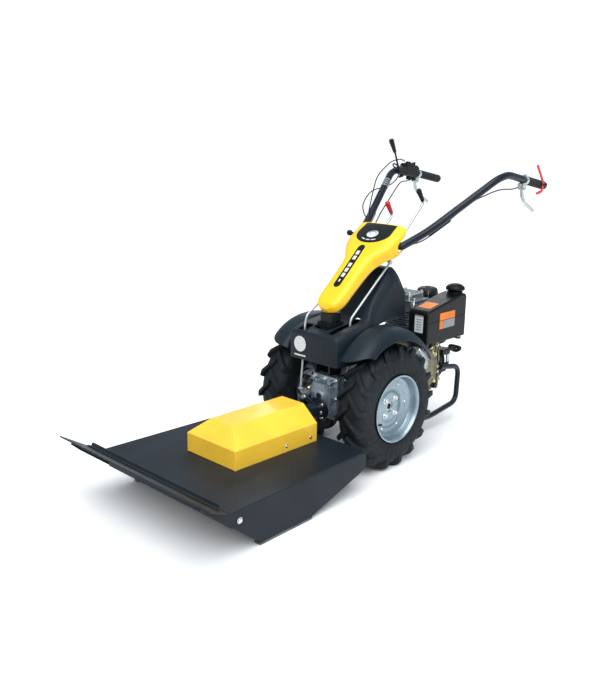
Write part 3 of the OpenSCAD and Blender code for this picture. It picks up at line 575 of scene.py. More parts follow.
for side, word in SIDES:
    skirt = Shape(on_edge(side))
    skirt.prism([(-28, 98), (-20, 94), (276, 10), (290, 8), (524, 8), (538, 13), (760, 186.5), (800, 222.4),
                 (790, 222.4), (676, 159.8), (-28, 159.8)], xz(-5, 0))
    skirt.make(f"{word}_skirt_plate", "deck", deck_paint, [f"{word}_skirt"], bevel=1.5, worn=worn_paint)
    rim_bar = Shape(on_edge(side))
    rim_bar.tube(bent_path([(-24, -7.5, 101), (284, -7.5, 13.5), (528, -7.5, 13.5)], 30), 4.4, 10)
    rim_bar.make(f"{word}_skirt_rim", "deck", (deck_paint[0], worn_paint), [f"{word}_skirt"])
    weld = Shape(on_edge(side))
    bead = [(-20 + 6.5 * k, -0.6 + 0.5 * math.sin(2.4 * k), 159.4 + 0.4 * math.cos(1.9 * k))
            for k in range(106)]
    weld.tube(bead, [1.9 + 0.5 * math.sin(2.1 * k) for k in range(106)], 8)
    weld.make(f"{word}_deck_weld", "deck", deck_paint, ["deck_plate"])
    bolts = Shape(on_edge(side))
    bolts.revolve([(11, 0), (11, 1.2), (8.8, 2), (8.4, 4.2), (6.4, 6)], (630, 0.1, 125), (0, 1, 0), 28)
    bolts.make(f"{word}_skirt_bolt", "deck", zinc_bolt, ["deck_bolts"])

lip = Shape(LIP_FRAME)
rows = []
LENGTH = math.hypot(LIP_RUN, LIP_RISE)
for i in range(41):
    t = i / 40
    rear_y, front_y = DECK_FRONT_HALF * (2 * t - 1), LIP_HALF * (2 * t - 1)
    wave = 1.8 * math.sin(9 * t * math.pi) * max(0, t - 0.5)
    rows.append([(0.4, rear_y, -5), (LENGTH - 0.4, front_y, -5 + wave), (LENGTH, front_y, -2.5 + wave),
                 (LENGTH - 0.4, front_y, -0.2 + wave), (0.4, rear_y, 0)])
lip.loft(rows)
lip.make("lip_plate", "deck", deck_paint, ["front_lip"], bevel=1.2, worn=worn_paint)
fold = Shape(LIP_FRAME)
fold.tube([(1.2, -361 + 7.22 * k, 0.2 + 0.4 * math.sin(2.2 * k)) for k in range(101)],
          [1.8 + 0.5 * math.sin(1.7 * k) for k in range(101)], 8)
fold.make("lip_weld", "deck", deck_paint, ["front_lip"])

brace = Shape(LIP_FRAME)
rows = []
for i in range(49):
    y = -360 + 720 * i / 48
    wave = 0.8 * math.sin(i * 0.9) * max(0, (i - 26) / 22)
    rows.append([(44 + wave, y, 0.2), (44 + wave, y, 18), (46 + wave, y, 19), (49 + wave, y, 18),
                 (49.6, y, 6), (66, y, 5), (66, y, 0.2)])
brace.loft(rows)
brace.make("lip_angle", "deck", deck_paint, ["deck_braces"], bevel=1.0, worn=worn_paint)
apron = Shape().box((938, -350, 97), (943, 350, 159.9))
apron.make("front_apron", "deck", deck_paint, ["deck_braces"], bevel=1.2, worn=worn_paint)

# The yellow cover: folded sheet with a hipped roof
cover = Shape()


def cover_ring(z, grow):
    """Corners of the cover at a height: the roof leans in on three sides."""
    t = max(0.0, (z - 238) / 62)
    return [(317 + grow, -(133 - 74 * t) + grow), (739 - 56 * t - grow, -(133 - 74 * t) + grow),
            (739 - 56 * t - grow, 133 - 74 * t - grow), (317 + grow, 133 - 74 * t - grow)]


rings = [[(x, y, z) for x, y in cover_ring(z, 0)] for z in (165.4, 238, 300)]
rings += [[(x, y, z) for x, y in cover_ring(z + 3, 3)] for z in (296.5, 236.5, 165.4)]
points = [p for ring in rings for p in ring]
# The first three rings are the outside and the last three the inside; each side has a flat top
faces = []
for i in (0, 1, 3, 4):
    for j in range(4):
        faces.append((i * 4 + j, i * 4 + (j + 1) % 4, (i + 1) * 4 + (j + 1) % 4, (i + 1) * 4 + j))
faces += [(8, 9, 10, 11), (15, 14, 13, 12)]
faces += [(20 + j, 20 + (j + 1) % 4, (j + 1) % 4, j) for j in range(4)]
cover.add(points, faces)
shell = cover.make("drive_cover", "deck", cover_paint, ["gear_cover"], bevel=3.0, segments=4, sharp=20)
flange = Shape()
for side in (1, -1):
    flange.box((317, side * 133, 165.2), (739, side * 131, 167.4))
flange.make("cover_foot", "deck", cover_paint, ["gear_cover"])
screws = Shape()
for side in (1, -1):
    for x in (352, 482):
        screws.revolve([(7.4, 0), (7.4, 1.0), (5.4, 2.6), (2.0, 3.2), (1.9, 1.8)], (x, side * 133, 188),
                       (0, side, 0), 22)
for a in range(4):
    turn = math.radians(45 + 90 * a)
    y, z = 40 * math.cos(turn), 222 + 40 * math.sin(turn)
    screws.revolve([(8, 0), (8, 1.2), (6, 1.4)], (176.2, y, z), (1, 0, 0), 20)
    screws.hexagon((177, y, z), (183, y, z), 5.8)
screws.make("deck_screws", "deck", zinc_bolt, ["deck_bolts"], bevel=0.4, segments=2)


# ---- hood and fenders -------------------------------------------------------------------------

def bake(piece):
    """Works the piece's modifiers into its mesh."""
    graph = bpy.context.evaluated_depsgraph_get()
    mesh = bpy.data.meshes.new_from_object(piece.evaluated_get(graph))
    piece.modifiers.clear()
    piece.data = mesh


def cut(piece, shapes):
    """Takes simple solids away from a piece and bakes the result."""
    cutters = []
    for shape in shapes:
        cutter = bpy.data.objects.new("cutter", outward_mesh("cutter", shape.points, shape.faces))
        scene.collection.objects.link(cutter)
        cutters.append(cutter)
        take = piece.modifiers.new("cut", "BOOLEAN")
        take.operation = "DIFFERENCE"
        take.solver = "EXACT"
        take.object = cutter
    bpy.context.view_layer.update()
    bake(piece)
    for cutter in cutters:
        bpy.data.objects.remove(cutter)
    piece.data.set_sharp_from_angle(angle=math.radians(35))


def hood_ring(x, low, shoulder, top):
    """One cross-section of the hood, from its right lower edge over the top to its left one."""
    return [(x, -low[0], low[1]), (x, -shoulder[0], shoulder[1]), (x, -top[0], top[1]),
            (x, top[0], top[1]), (x, shoulder[0], shoulder[1]), (x, low[0], low[1])]


# Along X: half width and height of the hood's lower edge, shoulder and top
HOOD = [(209, (124, 431), (127, 530), (116, 546)), (150, (139, 431), (139, 545), (126, 562)),
        (96, (139, 431), (139, 553), (126, 570)), (40, (139, 431), (139, 560), (126, 577)),
        (6, (135, 470), (133, 572), (117, 594)), (-15, (130, 500), (124, 590), (104, 620)),
        (-60, (117, 560), (108, 626), (84, 660)), (-120, (106, 566), (99, 680), (70, 712)),
        (-180, (101, 568), (92, 722), (58, 772)), (-216, (98, 570), (90, 718), (58, 776)),
        (-240, (97, 570), (89, 700), (66, 744)), (-262, (96, 571), (88, 674), (72, 700)),
        (-280, (92, 572), (84, 658), (68, 676))]


def hood():
    shape = Shape()
    rings = [hood_ring(*s) for s in HOOD]
    points = [p for ring in rings for p in ring]
    faces = []
    for i in range(len(rings) - 1):
        for j in range(5):
            faces.append((i * 6 + j, i * 6 + j + 1, i * 6 + j + 7, i * 6 + j + 6))
    last = (len(rings) - 1) * 6
    faces += [(0, 1, 4, 5), (1, 2, 3, 4), (last, last + 5, last + 4, last + 1),
              (last + 1, last + 4, last + 3, last + 2)]
    shape.add(points, faces)
    piece = shape.make("hood_shell", "chassis", hood_plastic, ["hood"])
    round_off = piece.modifiers.new("edge", "BEVEL")
    round_off.width = 11 * MM
    round_off.segments = 4
    round_off.limit_method = "ANGLE"
    round_off.angle_limit = math.radians(16)
    thick = piece.modifiers.new("wall", "SOLIDIFY")
    thick.thickness = 3.5 * MM
    thick.offset = -1
    column_slot = Shape().prism(soft_rect(64, -44, 160, 44, 14), xy(520, 640))
    left_rod_slot = Shape().prism(soft_rect(6, 55, 182, 84, 8), xy(520, 600))
    right_rod_slot = Shape().prism(soft_rect(140, -92, 198, -54, 8), xy(520, 640))
    cut(piece, [column_slot, left_rod_slot, right_rod_slot])


hood()

# A raised lip round each opening of the hood's tray
trims = Shape()
for outline in (soft_rect(60, -48, 164, 48, 16), soft_rect(2, 51, 186, 88, 10),
                soft_rect(136, -96, 202, -50, 10)):
    path = [(x, y, 546.2 + (209 - x) * 0.271 if x > 150 else 562.2 + (150 - x) * 0.137) for x, y in outline]
    trims.tube(path + path[:2], 2.2, 8)
trims.make("hood_opening_rims", "chassis", hood_plastic)

# A plate inside the hood that closes the tower off from the tray's slots
liner = Shape().box((-22, -108, 470), (-18, 108, 576))
liner.make("hood_liner", "chassis", control_plastic, bevel=0.8, segments=2)
# The ribbed seal round the foot of the column
boot = Shape()
for z0, z1, grow in ((556, 561, 3), (561, 584, 0)):
    boot.prism(soft_rect(70 - grow, -36 - grow, 142 + grow, 36 + grow, 8), xy(z0, z1))
piece = boot.make("column_boot", "chassis", control_plastic, ["hood"], bevel=1.5)
cut(piece, [Shape().prism(soft_rect(74, -30, 136, 30, 6), xy(540, 620))])
ribs = Shape()
for k in range(9):
    y = -32 + 8 * k
    for x in (140, 66):
        ribs.prism([(y - 1.6, 562), (y + 1.6, 562), (y + 1.6, 583), (y - 1.6, 583)], yz(x, x + 6))
for k in range(8):
    x = 78 + 8 * k
    for side in (1, -1):
        ribs.box((x - 1.6, side * 35, 562), (x + 1.6, side * 40, 583))
ribs.make("boot_ribs", "chassis", control_plastic, bevel=0.6, segments=2)

# A plain disc and bar where the real hood has a badge
plain_badge = Shape()
rim = [(32, 0), (32, 0.8), (31, 1.3), (26, 1.3), (25, 0.8), (25, 0.3)]
plain_badge.revolve(rim + [(17, 0.3), (16, 0.8), (15, 1.1), (0, 1.1)], (209.3, -68, 494), (1, 0, 0.02), 48)
plain_badge.prism(soft_rect(-99, 444, -37, 450, 2.5), yz(208.6, 210.2))
plain_badge.make("hood_badge", "chassis", ("panel_black", white_label), bevel=0.3, segments=2)


def fender(side, word):
    """A domed mudguard that drops towards its front end and curls in at its outer lip."""
    section = [(139.5, 307), (143, 314), (150, 319.4), (159, 322.4), (168, 323), (186, 322.4), (205, 320.6),
               (222, 316.6), (235, 311.4), (247, 304.6), (256, 296), (262, 286), (265.4, 277.6)]
    shape = Shape()
    bead_path = []
    rings = []
    for k in range(61):
        degrees = 45 + 99.5 * k / 60
        corner = max(0.0, 1 - k / 14) ** 1.4
        drop = 0.055 * max(0.0, (82 - degrees) / 37) ** 1.5

        def on_arc(y, r, wall):
            a = math.radians(degrees + 13 * corner * max(0.0, (y - 180) / 85) ** 2)
            r = r * (1 - drop * (1 - 0.5 * (y - 139) / 126) * (1 if y > 150 else 1.1)) - wall
            return (r * math.cos(a), side * (y - 1.6 if wall and y > 230 else y), TYRE_R + r * math.sin(a))

        outside = [on_arc(y, r, 0) for y, r in section]
        bead_path.append(outside[-1])
        rings.append(outside + [on_arc(y, r, 3) for y, r in reversed(section)])
    shape.loft(rings)
    shape.make(f"{word}_mudguard", "chassis", fender_paint, [f"{word}_fender"], sharp=48)
    Shape().tube(bead_path, 2.4, 10).make(f"{word}_mudguard_bead", "chassis", fender_paint,
                                          [f"{word}_fender"])


for side, word in SIDES:
    fender(side, word)


# ---- gearbox front ----------------------------------------------------------------------------

front = Shape()
front.prism(soft_rect(-66, 178, 66, 358, 12), yz(120.2, 127))
front.prism(soft_rect(-66, 178, -60, 358, 2.9), yz(112, 120))
front.prism(soft_rect(60, 178, 66, 358, 2.9), yz(112, 120))
front.make("gearbox_front_plate", "chassis", cast_metal, bevel=1.6)
boss = Shape()
boss.prism(soft_rect(-56, 236, 46, 326, 12), yz(127, 150))
boss.prism(soft_rect(-48, 244, 30, 318, 12), yz(150, 158.4))
boss.revolve([(24, 0), (24, 6), (22, 8), (14.5, 8), (13, 6), (12.5, 1)], (158.2, -2, 277), (1, 0, 0), 36)
boss.rod((128, -40, 330), (146, -40, 330), 12)
boss.rod((128, 40, 338), (150, 40, 338), 10)
boss.make("gearbox_boss", "chassis", cast_metal, bevel=2.5)
# A black disc set just inside the boss's bore: painted shade standing in for the dark inside of the hole
hole = Shape().revolve([(12.4, 0), (12.4, 0.6)], (163.6, -2, 277), (1, 0, 0), 32)
hole.make("boss_hole_painted_shade", "chassis", control_plastic)
ribs = Shape()
for y in (-50, -26, 0, 26, 50):
    ribs.box((-104, y - 2.5, 352), (118, y + 2.5, 360.8))
for x in (-80, -45, -10, 25, 60, 95):
    for side in (1, -1):
        ribs.box((x - 2.5, side * 64, 190), (x + 2.5, side * 70, 350))
ribs.make("gearbox_ribs", "chassis", cast_metal, bevel=1.2)
bolts = Shape()
for y, z in ((-56, 190), (56, 190), (-56, 232), (56, 268), (-56, 346), (56, 346), (0, 346)):
    bolts.revolve([(9, 0), (9, 1.4), (7, 1.6)], (127, y, z), (1, 0, 0), 20)
    bolts.hexagon((128, y, z), (134, y, z), 6.6)
bolts.make("gearbox_bolts", "chassis", zinc_bolt, bevel=0.5, segments=2)
fitting = Shape()
fitting.tube([(118, -60, 300), (134, -60, 299), (142, -60, 298)], [11, 10, 9], 18)
fitting.hexagon((140, -60, 298), (152, -60, 297), 12)
fitting.tube([(150, -60, 297), (160, -59, 299), (166, -56, 303)], [5, 5, 4.4], 14)
fitting.make("gearbox_breather", "chassis", ("lever_silver", brass[1]), bevel=0.5, segments=2)

# The bar that locks the hitch, and its two bolts
lock = Shape()
along = Vector((0, 115, -58)).normalized()
square = Vector((0, 58, 115)).normalized()
middle = Vector((0, -13, 243))
corners = []
for k in range(16):
    a = 2 * math.pi * k / 16
    reach = 54 if math.cos(a) > 0 else -54
    p = middle + along * (reach + 11 * math.cos(a)) + square * 11 * math.sin(a)
    corners.append((p.y, p.z))
lock.prism(corners, yz(179, 188))
lock.make("hitch_lock_bar", "deck", frame_paint, ["hitch_tube"], bevel=1.2)
lock = Shape()
for reach in (-52, 50):
    p = middle + along * reach
    lock.revolve([(10, 0), (10, 1.6), (8, 1.8)], (188, p.y, p.z), (1, 0, 0), 20)
    lock.hexagon((189, p.y, p.z), (197, p.y, p.z), 8.4)
lock.make("hitch_bolts", "deck", zinc_bolt, bevel=0.5, segments=2)
tube = Shape()
tube.revolve([(30, 129), (30, 162), (52, 162), (52, 176), (36, 176), (34, 180), (34, 316), (37, 321),
              (52, 321), (52, 332.9)],
             (0, 0, 222), (1, 0, 0), 48)
tube.make("hitch_body", "deck", frame_paint, ["hitch_tube"], sharp=30, bevel=1.2)


# ---- engine -----------------------------------------------------------------------------------

CRANK_Z = 300


def ring_of_bolts(shape, centre, radius, count, axis, turn=0, r=6.0, depth=5.0):
    """Hexagon heads with washers on a circle round an axis."""
    u, v = across(axis)
    axis = Vector(axis).normalized()
    for k in range(count):
        a = math.radians(turn + 360 * k / count)
        p = Vector(centre) + radius * (math.cos(a) * u + math.sin(a) * v)
        shape.revolve([(r * 1.45, 0), (r * 1.45, 1.2), (r * 1.2, 1.5)], p, axis, 18)
        shape.hexagon(p + axis * 1.2, p + axis * (1.2 + depth), r)


def crankcase():
    case = Shape()
    case.prism(soft_rect(-118, 190, 118, 430, 24), yz(-515, -290))
    case.box((-490, 70, 182), (-320, 100, 200))
    case.box((-490, -100, 182), (-320, -70, 200))
    case.make("crankcase_casting", "chassis", olive_metal, ["crankcase"], bevel=5)
    cover = Shape()
    outline = [(-400 + (86 + (8 if k % 4 == 0 else 0)) * math.cos(math.pi * k / 16),
                300 + (86 + (8 if k % 4 == 0 else 0)) * math.sin(math.pi * k / 16)) for k in range(32)]
    for side in (1, -1):
        cover.prism(outline, xz(side * 117, side * 126))
        cover.revolve([(58, 0), (58, 3), (50, 5.5), (30, 5.5), (26, 3)], (-400, side * 125, 300),
                      (0, side, 0), 44)
    cover.make("crankcase_covers", "chassis", olive_metal, ["crankcase"], bevel=2.2)
    ribs = Shape()
    for side in (1, -1):
        for x in (-496, -478, -318, -304):
            ribs.box((x - 2.5, side * 116, 205), (x + 2.5, side * 123, 415))
        for z in (408, 398, 206):
            ribs.box((-508, side * 116, z - 2), (-298, side * 121, z + 2))
    for y in range(-90, 100, 18):
        ribs.box((-292, y - 2.5, 210), (-284, y + 2.5, 412))
    ribs.make("crankcase_ribs", "chassis", olive_metal, bevel=1.2)
    bolts = Shape()
    for side in (1, -1):
        ring_of_bolts(bolts, (-400, side * 126, 300), 88, 8, (0, side, 0))
        for x, z in ((-490, 276), (-469, 232), (-507, 236), (-492, 200), (-436, 398), (-482, 400),
                     (-446, 371)):
            ring_of_bolts(bolts, (x, side * 121, z), 0, 1, (0, side, 0), r=6.5, depth=6)
    bolts.make("crankcase_bolts", "chassis", ("bright_bolts", warm_bolt), bevel=0.5, segments=2)
    plug = Shape()
    plug.revolve([(15, 0), (15, 3), (12, 4), (12, 12), (10, 14)], (-470, 121, 214), (0, 1, 0), 24)
    plug.tube(bent_path([(-505, 100, 400), (-506, 140, 420), (-506, 146, 440)], 16), 9, 16)
    plug.revolve([(13, 0), (14, 3), (14, 12), (11, 15), (0, 15.5)], (-506, 146.5, 440), (0, 0.05, 1), 24)
    plug.make("oil_filler", "chassis", control_plastic, bevel=0.6, segments=2)


def cylinder():
    fins = Shape()
    for k in range(11):
        z = 436 + 11 * k
        fins.prism(soft_rect(-500, -88, -342, 70, 34), xy(z, z + 3.4))
    fins.revolve([(57, 0), (57, 130)], (-420, -10, 430), (0, 0, 1), 44)
    fins.make("cylinder_fins", "chassis", cast_metal, ["cylinder_barrel"], bevel=0.8, segments=2)
    head = Shape()
    head.prism(soft_rect(-480, -90, -345, 76, 16), xy(560, 576))
    for k in range(5):
        head.prism(soft_rect(-478, -88, -347, 74, 18), xy(580 + 6 * k, 583 + 6 * k))
    head.prism(soft_rect(-470, -80, -355, 66, 14), xy(570, 608))
    head.make("cylinder_head_fins", "chassis", cast_metal, ["cylinder_head"], bevel=0.9, segments=2)
    rocker = Shape()
    rocker.prism(soft_rect(-468, -62, -357, 50, 20), xy(606, 632))
    for k in range(6):
        rocker.box((-452 + 15 * k, -54, 630), (-446 + 15 * k, 42, 638))
    rocker.make("rocker_cover", "chassis", lever_metal, ["cylinder_head"], bevel=3)
    fittings = Shape()
    for x, y in ((-458, -50), (-458, 38), (-367, -50), (-367, 38)):
        ring_of_bolts(fittings, (x, y, 632), 0, 1, (0, 0, 1), r=6.5, depth=8)
    fittings.revolve([(12, 0), (12, 6), (7, 8), (7, 18), (5, 20)], (-372, 62, 590), (0.25, 0.3, 1), 24)
    fittings.tube(smooth_path([(-368, 66, 612), (-352, 78, 622), (-330, 92, 604), (-322, 96, 560),
                               (-330, 108, 500), (-345, 112, 440)], 8), 3.1, 10)
    fittings.hexagon((-366, 64, 606), (-366, 65, 618), 8)
    fittings.make("injector_line", "chassis", zinc_bolt, bevel=0.5, segments=2)
    lifting = Shape()
    lifting.prism([(-350, 600), (-350, 640), (-343, 648), (-330, 648), (-323, 640), (-323, 606),
                   (-330, 600)], xz(10, 15))
    eye = lifting.make("lifting_eye", "chassis", zinc_bolt, bevel=1)
    cut(eye, [Shape().revolve([(8, 0), (8, 20)], (-336.5, 2, 632), (0, 1, 0), 24)])
    duct = Shape()
    path = smooth_path([(-268, 149, 420), (-292, 158, 412), (-318, 160, 390), (-338, 157, 356),
                        (-346, 150, 330)], 14)
    duct.tube(path, [15.5 + 1.9 * (1 if (i // 2) % 2 else -1) for i in range(len(path))], 22)
    duct.make("cooling_duct", "chassis", lever_metal, sharp=60)
    pump = Shape()
    pump.prism(soft_rect(-372, 335, -318, 398, 8), xz(121, 142))
    pump.rod((-345, 132, 396), (-345, 132, 432), 12)
    pump.rod((-360, 142, 360), (-360, 158, 360), 10)
    pump.rod((-331, 142, 352), (-331, 154, 352), 8)
    pump.make("injection_pump", "chassis", cast_metal, bevel=1.6)


def fan_and_starter():
    fan = Shape()
    fan.revolve([(104, 0), (112, 0), (112, 49), (108, 54), (98, 57), (94, 57), (92, 55), (92, 50), (88, 50)],
                (-515.2, 0, CRANK_Z), (-1, 0, 0), 72)
    fan.revolve([(20, 74), (26, 75), (60, 74), (66, 70), (68, 60), (68, 50), (60, 50)],
                (-515.2, 0, CRANK_Z), (-1, 0, 0), 60)
    fan.make("fan_cowling", "chassis", engine_paint, ["fan_housing"], sharp=30)
    vanes = Shape()
    for k in range(24):
        a = 2 * math.pi * k / 24
        c, s = math.cos(a), math.sin(a)
        vanes.loft([[(x, r * c - w * s, CRANK_Z + r * s + w * c)
                     for r, w in ((66, -1.6), (93, -2), (93, 2), (66, 1.6))]
                    for x in (-566, -571)])
    for r in (74, 83):
        vanes.tube([(-568.5, r * math.cos(math.pi * k / 30), CRANK_Z + r * math.sin(math.pi * k / 30))
                    for k in range(61)], 1.6, 8)
    vanes.make("fan_grille", "chassis", engine_paint)
    screws = Shape()
    ring_of_bolts(screws, (-570, 0, CRANK_Z), 101, 6, (-1, 0, 0), turn=20, r=5, depth=4)
    ring_of_bolts(screws, (-589, 0, CRANK_Z), 44, 3, (-1, 0, 0), turn=50, r=5, depth=4)
    screws.make("fan_screws", "chassis", zinc_bolt, bevel=0.4, segments=2)
    guide = Shape()
    guide.prism(soft_rect(86, 343, 134, 371, 7), yz(-572, -515.4))
    guide.revolve([(15, 0), (15, 4), (12, 7), (7.5, 7)], (-571.5, 116, 357), (-1, 0, 0), 30)
    guide.make("recoil_guide", "chassis", engine_paint, ["fan_housing"], bevel=2)
    pull = Shape()
    rings = []
    for k in range(37):
        a = 2 * math.pi * k / 36
        centre = Vector((-634, 116 + 27 * math.cos(a), 357 + 9.5 * math.sin(a) + 2.5 * math.cos(2 * a)))
        out = Vector((0, 9.5 * math.cos(a), 27 * math.sin(a))).normalized()
        rings.append([centre + out * 8.2 * math.cos(b) + Vector((10, 0, 0)) * math.sin(b)
                      for b in (2 * math.pi * j / 14 for j in range(14))])
    pull.loft(rings, caps=False)
    pull.tube([(-627, 116, 357), (-614, 116, 357), (-606, 116, 357), (-540, 116, 357)], [11, 9.5, 6, 6], 18)
    pull.make("recoil_grip", "recoil", grip_rubber, ["recoil_handle"], sharp=60)
    plate = Shape()
    plate.prism([(-516, 262), (-560, 262), (-585, 300), (-585, 346), (-572, 352), (-560, 346), (-560, 305),
                 (-516, 290)],
                xz(119, 122.5))
    plate.make("rear_bracket", "chassis", engine_paint, bevel=1)
    tag = Shape().prism(soft_rect(-583, 305, -563, 340, 2), xz(122.5, 123.4))
    tag.make("rear_tag", "chassis", ("panel_black", white_label))


def fuel_tank():
    tank = Shape()
    tank.prism([(-285, 450), (-285, 580), (-297, 592), (-525, 634), (-566, 636), (-577, 625), (-577, 443),
                (-300, 443)],
               xz(97, 200))
    tank.make("tank_shell", "chassis", tank_plastic, ["fuel_tank"], bevel=11, segments=5, sharp=30)
    neck = Shape()
    neck.revolve([(19, 0), (34, 0), (33, 7), (27, 12), (24, 14), (19, 14)], (-555, 150, 632), (0, 0, 1), 48)
    neck.make("filler_neck", "chassis", tank_plastic, ["fuel_tank"])
    seam = Shape()
    y0, y1, x0, x1 = 96.6, 200.5, -577.5, -284.5
    path = [(x1 - 9, y0, 540), (x1, y0 + 9, 540), (x1, y1 - 9, 540), (x1 - 9, y1, 540), (x0 + 9, y1, 540),
            (x0, y1 - 9, 540), (x0, y0 + 9, 540), (x0 + 9, y0, 540), (x1 - 9, y0, 540)]
    seam.tube(bent_path(path[3:9], 9), 1.1, 8)
    seam.tube(bent_path([(-540, 200.2, 541), (-566, 200.2, 541)], 2), 1.5, 8)
    seam.make("tank_seam", "chassis", tank_plastic)
    for name, blocks in (("front_label", [(white_label, (134, 497, 177, 572)),
                                          (grey_label, (134, 566, 177, 572.6))]),
                         ("side_label", [(orange_label, (-487, 541, -374, 573)),
                                         (grey_label, (-487, 503, -402, 539)),
                                         (orange_label, (-400, 503, -374, 539))])):
        for k, (material, (u0, z0, u1, z1)) in enumerate(blocks):
            block = Shape()
            if name == "front_label":
                block.prism(soft_rect(u0, z0, u1, z1, 2), yz(-285.2, -284.4 + 0.2 * k))
            else:
                block.prism(soft_rect(u0, z0, u1, z1, 2), xz(199.8, 200.7))
            block.make(f"{name}_{k + 1}", "chassis", ("panel_black", material))
    slope = math.atan2(42, 228)
    top = Shape(Matrix.Translation((-297, 0, 592.4)) @ Matrix.Rotation(slope, 4, "Y"))
    top.prism(soft_rect(-96, 118, -28, 180, 3), xy(0, 0.8))
    top.make("top_label", "chassis", ("panel_black", orange_label))
    marks = Shape()
    for k in range(5):
        marks.box((-284.5, 141, 508 + 11 * k), (-284.1, 170 - 4 * (k % 2), 512 + 11 * k))
    marks.make("front_label_bars", "chassis", ("panel_black", grey_label))
    strap = Shape()
    for x in (-330, -530):
        strap.prism([(96, 436), (205, 436), (205, 446), (201.2, 446), (201.2, 440), (96, 440)],
                    yz(x - 9, x + 9))
        strap.box((x - 9, 88, 425), (x + 9, 98, 452))
    strap.make("tank_brackets", "chassis", engine_paint, bevel=0.8)
    cap = Shape()
    ridged = []
    for k in range(96):
        a = 2 * math.pi * k / 96
        r = 42 - (1.4 if k % 4 < 2 else 0)
        ridged.append((-555 + r * math.cos(a), 150 + r * math.sin(a)))
    rings = []
    for grow, z in ((-14, 645), (-2, 646.5), (0, 649), (0, 656), (-2.5, 661), (-8, 666), (-15, 670),
                    (-24, 673.4), (-34, 675)):
        ring = []
        for x, y in ridged:
            d = Vector((x + 555, y - 150, 0))
            out = d.normalized() * (min(d.length, 42) + grow) if grow > -6 else d.normalized() * (42 + grow)
            ring.append((-555 + out.x, 150 + out.y, z))
        rings.append(ring)
    cap.loft(rings)
    cap.rod((-555, 150, 626), (-555, 150, 646), 17.9)
    cap.make("cap_dome", "cap", tank_plastic, ["fuel_cap"], sharp=50)
    line = Shape()
    line.tube(smooth_path([(-350, 150, 444), (-350, 150, 430), (-352, 148, 415), (-350, 140, 402),
                           (-346, 134, 394)], 6), 4.2, 12)
    line.tube(smooth_path([(-420, 150, 444), (-424, 152, 428), (-400, 146, 412), (-372, 140, 404),
                           (-352, 132, 408)], 6), 4.2, 12)
    line.make("fuel_lines", "chassis", cable_plastic)


def air_cleaner_and_muffler():
    air = Shape()
    air.revolve([(40, 0), (46, 2), (46, 50), (49, 52), (49, 58), (46, 60), (46, 66), (44, 74), (36, 80),
                 (14, 82), (12, 80), (0, 80)],
                (-537, 15, 560), (0, 0, 1), 48)
    air.tube(bent_path([(-500, 15, 584), (-470, 15, 584)], 4), 17, 20)
    air.make("air_filter", "chassis", engine_paint, ["air_cleaner"], sharp=40)
    clip = Shape()
    clip.revolve([(3, 0), (6, 1), (6, 5), (9, 6), (9, 9), (4, 10)], (-537, 15, 640), (0, 0, 1), 6)
    for a in (40, 160, 280):
        c, s = math.cos(math.radians(a)), math.sin(math.radians(a))
        clip.tube([(-537 + r * c, 15 + r * s, z)
                   for r, z in ((48, 590), (51.5, 604), (51.5, 622), (48, 628))], 2, 8)
    clip.make("air_filter_clips", "chassis", zinc_bolt)
    can = Shape()
    can.revolve([(13, -40), (13, -2), (30, 0), (42, 3), (46, 9), (46, 60), (47.4, 62), (47.4, 67), (46, 69),
                 (46, 120), (47.4, 122), (47.4, 127), (46, 129), (46, 181), (42, 187), (30, 190),
                 (0, 190)], (-520, -170, 505), (1, 0, 0), 48)
    can.tube([(-420, -170, 545), (-420, -170, 560), (-420, -164, 572), (-420, -150, 578), (-420, -90, 578)],
             14, 20)
    can.make("muffler_can", "chassis", muffler_steel, ["muffler"], sharp=30)
    guard = Shape()
    for k in range(9):
        x = -505 + 20 * k
        guard.tube([(x, -170 - 52 * math.sin(math.radians(b)), 505 + 52 * math.cos(math.radians(b)))
                    for b in range(-10, 171, 10)], 2.0, 8)
    for b in (-10, 50, 110, 170):
        y, z = -170 - 52 * math.sin(math.radians(b)), 505 + 52 * math.cos(math.radians(b))
        guard.tube([(-512, y, z), (-338, y, z)], 2.4, 8)
    guard.make("muffler_guard", "chassis", engine_paint)


def bumper():
    for side, word in SIDES:
        route = [(-500, 131, 296), (-655, 128, 268), (-649, 128, 98), (-435, 128, 72), (-250, 112, 80),
                 (-80, 78, 196)]
        path = bent_path([(x, side * y, z) for x, y, z in route], 45, 10)
        tubes = Shape().tube(path, 12, 24)
        tubes.make(f"{word}_bumper_tube", "chassis", frame_paint, ["rear_bumper"], sharp=50)
        foot = Shape()
        foot.prism(soft_rect(-522, 276, -478, 316, 8), xz(side * 118, side * 122))
        ring_of_bolts(foot, (-513, side * 122, 308), 0, 1, (0, side, 0), r=6, depth=4)
        ring_of_bolts(foot, (-487, side * 122, 284), 0, 1, (0, side, 0), r=6, depth=4)
        foot.make(f"{word}_bumper_foot", "chassis", frame_paint, bevel=1)


warm_bolt = surface("bright_bolts", (0.70, 0.62, 0.36), 0.3, metal=0.9, bump=0.2, grain=500, vary=0.2)[1]
crankcase()
cylinder()
fan_and_starter()
fuel_tank()
air_cleaner_and_muffler()
bumper()


# ---- handlebar --------------------------------------------------------------------------------

COWL_SLOPE = math.radians(39)
# How full the cowl's section is across and upwards; 1 would make it an ellipse
FULL_ACROSS = 0.7
FULL_UP = 0.6
# Along the cowl's neck: half width, height of its widest line, and the depth and height from there
STATIONS = [(-5, 15, -25, 12, 11), (0, 28, -25, 18, 18), (12, 46, -25, 26, 27), (45, 60, -24, 34, 29),
            (120, 62, -22, 38, 30), (220, 64, -22, 42, 36), (262, 72, -22, 48, 39), (300, 96, -22, 58, 42),
            (345, 118, -22, 66, 41), (400, 124, -22, 80, 36), (440, 124, -22, 80, 31),
            (468, 121, -20, 78, 24)]
# Along the neck: height of the shell's lower edge
HEM = [(-20, -52), (60, -55), (290, -44), (311, -46), (345, -62), (391, -86), (414, -94), (428, -90)]


